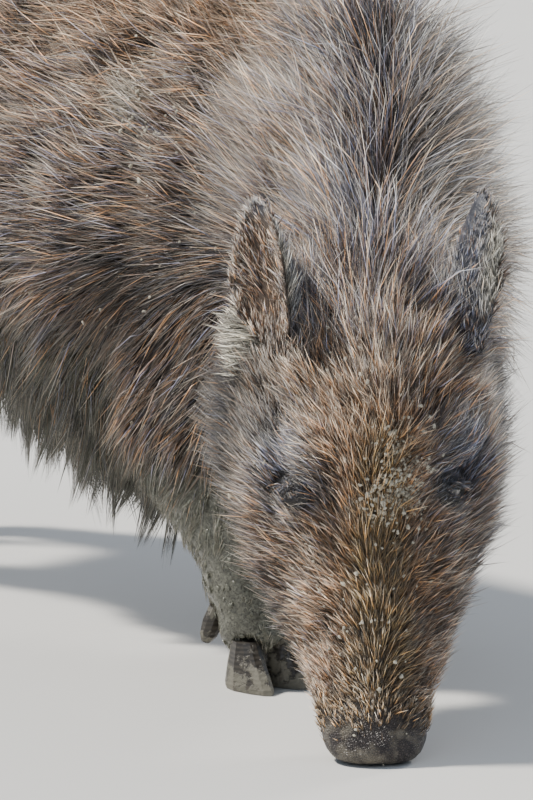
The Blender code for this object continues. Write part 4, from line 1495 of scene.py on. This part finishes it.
        flat.append((0.0, rise[-1]))
        local = np.array(flat)[pattern.ravel()]
        uv = (spot[:, None, :] + local[None]).reshape(-1, 2)
        layer = mesh.uv_layers.new(name="OFBake")
        layer.data.foreach_set("uv", uv.astype(np.float32).ravel())
        mesh.shade_smooth()


def fill_mesh(mesh: bpy.types.Mesh, points: Array, faces: Array) -> None:
    """Fills an empty mesh with triangles.

    Args:
        mesh: The mesh.
        points: Its vertices.
        faces: Its triangles, as rows of three vertices.
    """
    mesh.vertices.add(len(points))
    mesh.vertices.foreach_set("co", points.astype(np.float32).ravel())
    mesh.loops.add(faces.size)
    mesh.loops.foreach_set("vertex_index", faces.astype(np.int32).ravel())
    mesh.polygons.add(len(faces))
    mesh.polygons.foreach_set("loop_start", np.arange(0, faces.size, 3, dtype=np.int32))
    mesh.update(calc_edges=True)


@dataclass
class Stretches:
    """The stretches that the coat is made in, from the snout to the tail."""

    anatomy: Anatomy
    crest_reach: float = 0.055
    cheek_edge: float = -0.055
    brow_edge: float = 0.225
    shoulder_end: float = 0.08
    belly_top: float = 0.20

    def head(self, front: bool, brow: bool) -> Cover:
        """Covers the cheeks, or the head's front below or above the eyes.

        Args:
            front: The front of the head, not its cheeks.
            brow: Above the eyes, not below, which only the front is split by.

        Returns:
            The test.
        """

        def covers(points: Array, labels: Array) -> Array:
            """Finds the faces there.

            Args:
                points: The faces' middles.
                labels: The index in PARTS of the flesh node of each.

            Returns:
                Whether each face is there.
            """
            _, rise, out = self.anatomy.to_head(points).T
            there = is_part(labels, Part.HEAD, Part.SNOUT, Part.JAW) & ((out > self.cheek_edge) == front)
            return there & ((rise >= self.brow_edge) == brow) if front else there

        return covers

    def neck(self, left: bool) -> Cover:
        """Covers one side of the neck off the crest."""
        return lambda points, labels: is_part(labels, Part.NECK) & ~self.crest(points) & (self.right(points) != left)

    def flank(self, left: bool, rear: bool) -> Cover:
        """Covers a quarter of the trunk off the crest and above the belly.

        Args:
            left: The boar's left, not its right.
            rear: The rump, not the shoulder.

        Returns:
            The test.
        """

        def covers(points: Array, labels: Array) -> Array:
            """Finds the faces there.

            Args:
                points: The faces' middles.
                labels: The index in PARTS of the flesh node of each.

            Returns:
                Whether each face is there.
            """
            x, y, z = points.T
            quarter = ((x >= self.anatomy.axis_x) == left) & ((y >= self.shoulder_end) == rear)
            return is_part(labels, Part.TRUNK) & ~self.crest(points) & quarter & (z > self.belly_top)

        return covers

    def crest(self, points: Array) -> Array:
        """Which points are by the ridge of the neck and withers."""
        gap, run, _, _ = off_line(points, self.anatomy.ridge())
        return (gap < self.crest_reach) & (run > 0.16) & (run < 0.90)

    def right(self, points: Array) -> Array:
        """Which points are on the boar's right."""
        _, _, _, beside = off_line(points, self.anatomy.ridge())
        return beside < 0

    def near(self, points: Array, spot: Vector, radius: float) -> Array:
        """Which points lie in a ball."""
        return np.linalg.norm(points - np.array(spot), axis=1) < radius

    def lash_line(self, points: Array, side: float) -> Array:
        """Which points lie on an upper lid just above its opening.

        Args:
            points: The points.
            side: -1 for the right eye and 1 for the left.

        Returns:
            Whether each does.
        """
        looks, level, upright = (np.array(v) for v in self.anatomy.eye_axes(side))
        local = points - np.array(self.anatomy.eyes["left" if side > 0 else "right"])
        far = np.linalg.norm(local, axis=1)
        way = local / far[:, None]
        high = way @ upright
        return (far < 0.017) & (way @ looks > 0.4) & (high > 0.16) & (high < 0.42) & (np.abs(way @ level) < 0.75)

    def all(self) -> list[Patch]:
        """Lists every stretch.

        Returns:
            The stretches, in the order that they are made in.
        """
        a = self.anatomy
        lashes = {
            "length": 0.0120, "lift": math.radians(64), "width": 0.00035, "clump": 0.4, "cream": 0.35, "dark": 0.3,
            "rust": 0.1,
        }
        ear = {
            "length": 0.040, "lift": math.radians(34), "cream": 1.05, "rust": 0.25, "slate": 0.1, "dark": 0.0,
            "width": 0.0006, "clump": 0.6,
        }
        down = tuple(-v for v in a.eye_axes(1.0)[2])
        base = a.in_head(-0.088, 0.318, -0.045)
        tuft_way = tuple(-a.across * 0.55 - a.ahead * 0.75 + Vector((0, 0, 0.10)))

        def ear_base(points: Array, labels: Array) -> Array:
            """Which faces are at the front of the right ear's root."""
            return self.near(points, base, 0.020) & is_part(labels, Part.HEAD, Part.NECK, Part.EAR_RIGHT)

        def lids(points: Array, _: Array) -> Array:
            """Which faces carry lashes."""
            return self.lash_line(points, -1.0) | self.lash_line(points, 1.0)

        def crest(points: Array, labels: Array) -> Array:
            """Which faces carry the mane."""
            return is_part(labels, Part.NECK, Part.TRUNK) & self.crest(points)

        def belly(points: Array, labels: Array) -> Array:
            """Which faces are low on the trunk."""
            return is_part(labels, Part.TRUNK) & (points[:, 2] <= self.belly_top)

        return [
            Patch("coat_face", self.head(True, False), 30500, wander=0.24, seed=21, locks=0.12),
            Patch("coat_forehead", self.head(True, True), 24000, wander=0.22, seed=22),
            Patch("coat_cheeks", self.head(False, False), 21500, wander=0.26, seed=23, locks=0.20),
            Patch("coat_ears", lambda _, at: is_part(at, *EARS), 11500, seed=24, locks=0.50),
            Patch("coat_ear_tuft", ear_base, 900, 2, way=tuft_way, values=ear, seed=36, wander=0.30, locks=0.1),
            Patch("coat_lashes", lids, 110, 2, way=down, values=lashes, locks=0.0, seed=37),
            Patch("coat_crest", crest, 12500, 2, wander=0.26, seed=25),
            Patch("coat_neck_right", self.neck(False), 20000, wander=0.26, seed=26),
            Patch("coat_neck_left", self.neck(True), 13500, wander=0.26, seed=27),
            Patch("coat_shoulder_right", self.flank(False, False), 26000, wander=0.28, seed=28),
            Patch("coat_shoulder_left", self.flank(True, False), 11500, wander=0.20, seed=29),
            Patch("coat_rump_right", self.flank(False, True), 15500, wander=0.20, seed=30),
            Patch("coat_rump_left", self.flank(True, True), 12500, wander=0.20, seed=31),
            Patch("coat_belly", belly, 6000, 2, longer=0.92, wander=0.24, seed=32, locks=0.30),
            Patch("coat_forelegs", lambda _, at: is_part(at, *LEGS[:2]), 12000, wander=0.18, seed=33),
            Patch("coat_hindlegs", lambda _, at: is_part(at, *LEGS[2:]), 9500, wander=0.18, seed=34),
            Patch("coat_tail", lambda _, at: is_part(at, Part.TAIL), 2000, wander=0.14, seed=35),
        ]


# ---- eyes and hooves ------------------------------------------------------------------------------


@dataclass
class Eyes:
    """The CAD eyeballs with a wet finish."""

    anatomy: Anatomy

    def build(self) -> None:
        """Dresses both eyes."""
        for name, side in (("right", -1.0), ("left", 1.0)):
            node = bpy.data.objects["eye_" + name]
            looks = self.anatomy.eye_axes(side)[0]
            finish = EyeFinish("eye_" + name, tuple(self.anatomy.eyes[name]), tuple(looks))
            node.data.materials.clear()
            node.data.materials.append(finish.material())
        log.info("eyes dressed")


@dataclass
class Hooves:
    """The CAD hooves and dewclaws with horn on them."""

    kinds: tuple[str, ...] = ("hoof", "dewclaw")

    def build(self) -> None:
        """Dresses every claw."""
        for name, node in sorted(bpy.data.objects.items()):
            if name.startswith(self.kinds):
                node.data.materials.clear()
                node.data.materials.append(HornFinish().material())
        log.info("hooves dressed")


# ---- mud ------------------------------------------------------------------------------------------


@dataclass
class Crumbs:
    """Small clods of mud stuck in the coat."""

    skin: Skin
    seed: int = 51
    jitter: float = 0.0032

    def build(self) -> None:
        """Adds the dried crumbs on the face and shoulder, and the wet clods on the forelegs."""
        a = self.skin.anatomy
        brow = ((0.020, 0.238, 80), (0.028, 0.220, 130), (0.018, 0.206, 130), (0.006, 0.194, 60), (0.024, 0.190, 60))
        spots = [(a.in_head(x, f, 0.006), 0.012, count) for x, f, count in brow]
        spots += [(a.in_head(-0.060, 0.145, -0.01), 0.010, 10), (a.in_head(0.0, 0.10, 0.02), 0.040, 55)]
        spots += [(a.in_head(0.0, 0.30, 0.0), 0.035, 24), (a.in_head(-0.07, 0.20, -0.06), 0.05, 44)]
        spots += [(Vector((-0.053, -0.095, 0.462)), 0.030, 60), (Vector((-0.07, -0.09, 0.30)), 0.09, 30)]
        dry = MudFinish("dry mud", (0.70, 0.65, 0.53), (0.34, 0.31, 0.24), 0.85)
        self.scatter("mud_dry", spots, dry, 0.0010, 1.05, 0.85)
        wet = MudFinish("wet mud", (0.190, 0.190, 0.148), (0.070, 0.070, 0.052), 0.12)
        legs = [(Vector((-0.072, -0.258, z)), 0.055, 45) for z in (0.06, 0.11, 0.16)]
        legs += [(Vector((0.185, -0.150, 0.08)), 0.06, 40)]
        self.scatter("mud_wet", legs, wet, 0.0020, 0.2, 0.28)

    def scatter(
        self, name: str, spots: list[tuple[Vector, float, int]], finish: MudFinish,
        size: float, depth: float, flat: float,
    ) -> None:
        """Makes one kind of clods, joined.

        Args:
            name: The piece's name.
            spots: The middle, the reach and the number of each scatter.
            finish: The mud.
            size: A clod's middling radius.
            depth: Where it sits in the coat, 0 on the skin and 1 at the tips.
            flat: How high it stands for its radius.
        """
        rng = np.random.default_rng(self.seed)
        bpy.ops.object.select_all(action="DESELECT")
        bpy.ops.mesh.primitive_ico_sphere_add(subdivisions=2, radius=1.0)
        seed = bpy.context.active_object
        ball = mesh_points(seed.data)
        tris = np.array([list(p.vertices) for p in seed.data.polygons])
        bpy.data.objects.remove(seed)
        points, normals = mesh_points(self.skin.obj.data), mesh_normals(self.skin.obj.data)
        coat = self.skin.fields[:, Lie.COLUMNS.index("depth")]
        eyes = [np.linalg.norm(points - np.array(eye), axis=1) for eye in self.skin.anatomy.eyes.values()]
        clear = ramp(np.minimum(*eyes), 0.024, 0.030)
        rows, faces = [], []
        for middle, reach, count in spots:
            gap = np.linalg.norm(points - np.array(middle), axis=1)
            weight = bell(gap, gap.min(), reach) * clear
            for i in rng.choice(len(points), count, p=weight / weight.sum()):
                radius = size * rng.lognormal(0.0, 0.30)
                lumps = 1 + 0.42 * waves(ball * 1.3, 1.6, int(rng.integers(1, 9999)))
                n = normals[i]
                side = unit(np.cross(n, rng.normal(size=3))[None])[0]
                axes = np.stack([side * rng.uniform(0.8, 1.5), np.cross(n, side), n * flat])
                faces.append(tris + len(rows) * len(ball))
                spot = points[i] + np.cross(n, rng.normal(0.0, self.jitter, 3))
                spot += n * (coat[i] * depth * rng.uniform(0.6, 1.1))
                rows.append(spot + (ball * lumps[:, None] * radius) @ axes)
        mesh = bpy.data.meshes.new(name)
        fill_mesh(mesh, np.concatenate(rows), np.concatenate(faces))
        mesh.materials.append(finish.material())
        obj = bpy.data.objects.new(name, mesh)
        bpy.context.scene.collection.objects.link(obj)
        settle(obj, "hide")


# ---- stage ----------------------------------------------------------------------------------------


@dataclass
class Studio:
    """A pale floor, soft lights and the camera."""

    anatomy: Anatomy
    azimuth: float = math.radians(-40)
    elevation: float = math.radians(9)
    distance: float = 4.5
    view_height: float = 0.616
    across_frame: float = 0.1942
    down_frame: float = 0.125
    frame: tuple[int, int] = (533, 800)
    sensor: float = 36.0
    floor_size: float = 60.0
    floor_drop: float = 0.0005

    def build(self) -> None:
        """Sets everything up."""
        self.floor()
        self.lights()
        self.camera()

    def floor(self) -> None:
        """A wide floor."""
        bpy.ops.object.select_all(action="DESELECT")
        cuts = {"x_subdivisions": 8, "y_subdivisions": 8}
        bpy.ops.mesh.primitive_grid_add(size=self.floor_size, location=(0, 0, -self.floor_drop), **cuts)
        floor = bpy.context.active_object
        floor.name = "floor"
        bpy.ops.object.transform_apply(location=True, rotation=True, scale=True)
        floor.data.materials.append(FloorFinish().material())
        floor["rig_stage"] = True

    def axes(self) -> tuple[Vector, Vector, Vector]:
        """How the camera is set.

        Returns:
            Its right, up and back.
        """
        sine, cosine = math.sin(self.azimuth), math.cos(self.azimuth)
        rise = math.cos(self.elevation)
        back = Vector((sine * rise, -cosine * rise, math.sin(self.elevation)))
        right = Vector((0, 0, 1)).cross(back).normalized()
        return right, back.cross(right), back

    def camera(self) -> None:
        """The camera, with the crown of the head at its place in the frame."""
        right, up, back = self.axes()
        data = bpy.data.cameras.new("camera")
        camera = bpy.data.objects.new("camera", data)
        bpy.context.scene.collection.objects.link(camera)
        crown = self.anatomy.in_head(0.0, self.anatomy.head_length - 0.012, 0.0)
        wide = self.view_height * self.frame[0] / self.frame[1]
        target = crown - right * (wide * self.across_frame) - up * (self.view_height * self.down_frame)
        camera.matrix_world = Matrix((right, up, back)).transposed().to_4x4()
        camera.location = target + back * self.distance
        data.sensor_width = self.sensor
        data.lens = self.sensor * self.distance / self.view_height
        data.clip_end = 100.0
        bpy.context.scene.camera = camera

    def lights(self) -> None:
        """A warm key from the upper left, a soft fill, and cool light all round."""
        world = bpy.data.worlds.new("studio")
        bpy.context.scene.world = world
        world.use_nodes = True
        background = world.node_tree.nodes["Background"]
        background.inputs["Color"].default_value = (0.67, 0.80, 1.0, 1.0)
        background.inputs["Strength"].default_value = 0.62
        right, up, back = self.axes()
        lamps = (
            ("key", right * -1.0 + up * 1.6 + back * 0.14, 6.0, 6.2, (1.0, 0.955, 0.88)),
            ("rim", right * 0.9 + up * 1.0 - back * 0.9, 12.0, 1.3, (1.0, 0.97, 0.93)),
            ("fill", right * -0.3 + up * 0.5 + back * 1.3, 40.0, 0.35, (0.90, 0.95, 1.0)),
        )
        for name, way, spread, power, colour in lamps:
            data = bpy.data.lights.new(name, "SUN")
            data.angle, data.energy, data.color = math.radians(spread), power, colour
            lamp = bpy.data.objects.new(name, data)
            bpy.context.scene.collection.objects.link(lamp)
            lamp.location = way * 3
            lamp.rotation_euler = way.to_track_quat("Z", "Y").to_euler()


# ---- all of it ------------------------------------------------------------------------------------


def main(box: tuple[Array, Array]) -> None:
    """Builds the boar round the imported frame, piece by piece.

    Args:
        box: The CAD's lowest and highest corners.
    """
    anatomy = Anatomy(box)
    skin = Skin(anatomy)
    skin.build()
    Eyes(anatomy).build()
    Hooves().build()
    coat = Coat(skin)
    for patch in Stretches(anatomy).all():
        coat.grow(patch)
    Crumbs(skin).build()
    Studio(anatomy).build()


if __name__ == "__main__":
    logging.basicConfig(level=logging.INFO, format="%(relativeCreated)6d ms %(message)s")
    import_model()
    CAD_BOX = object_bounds()
    main(tuple(np.array(corner) for corner in CAD_BOX))
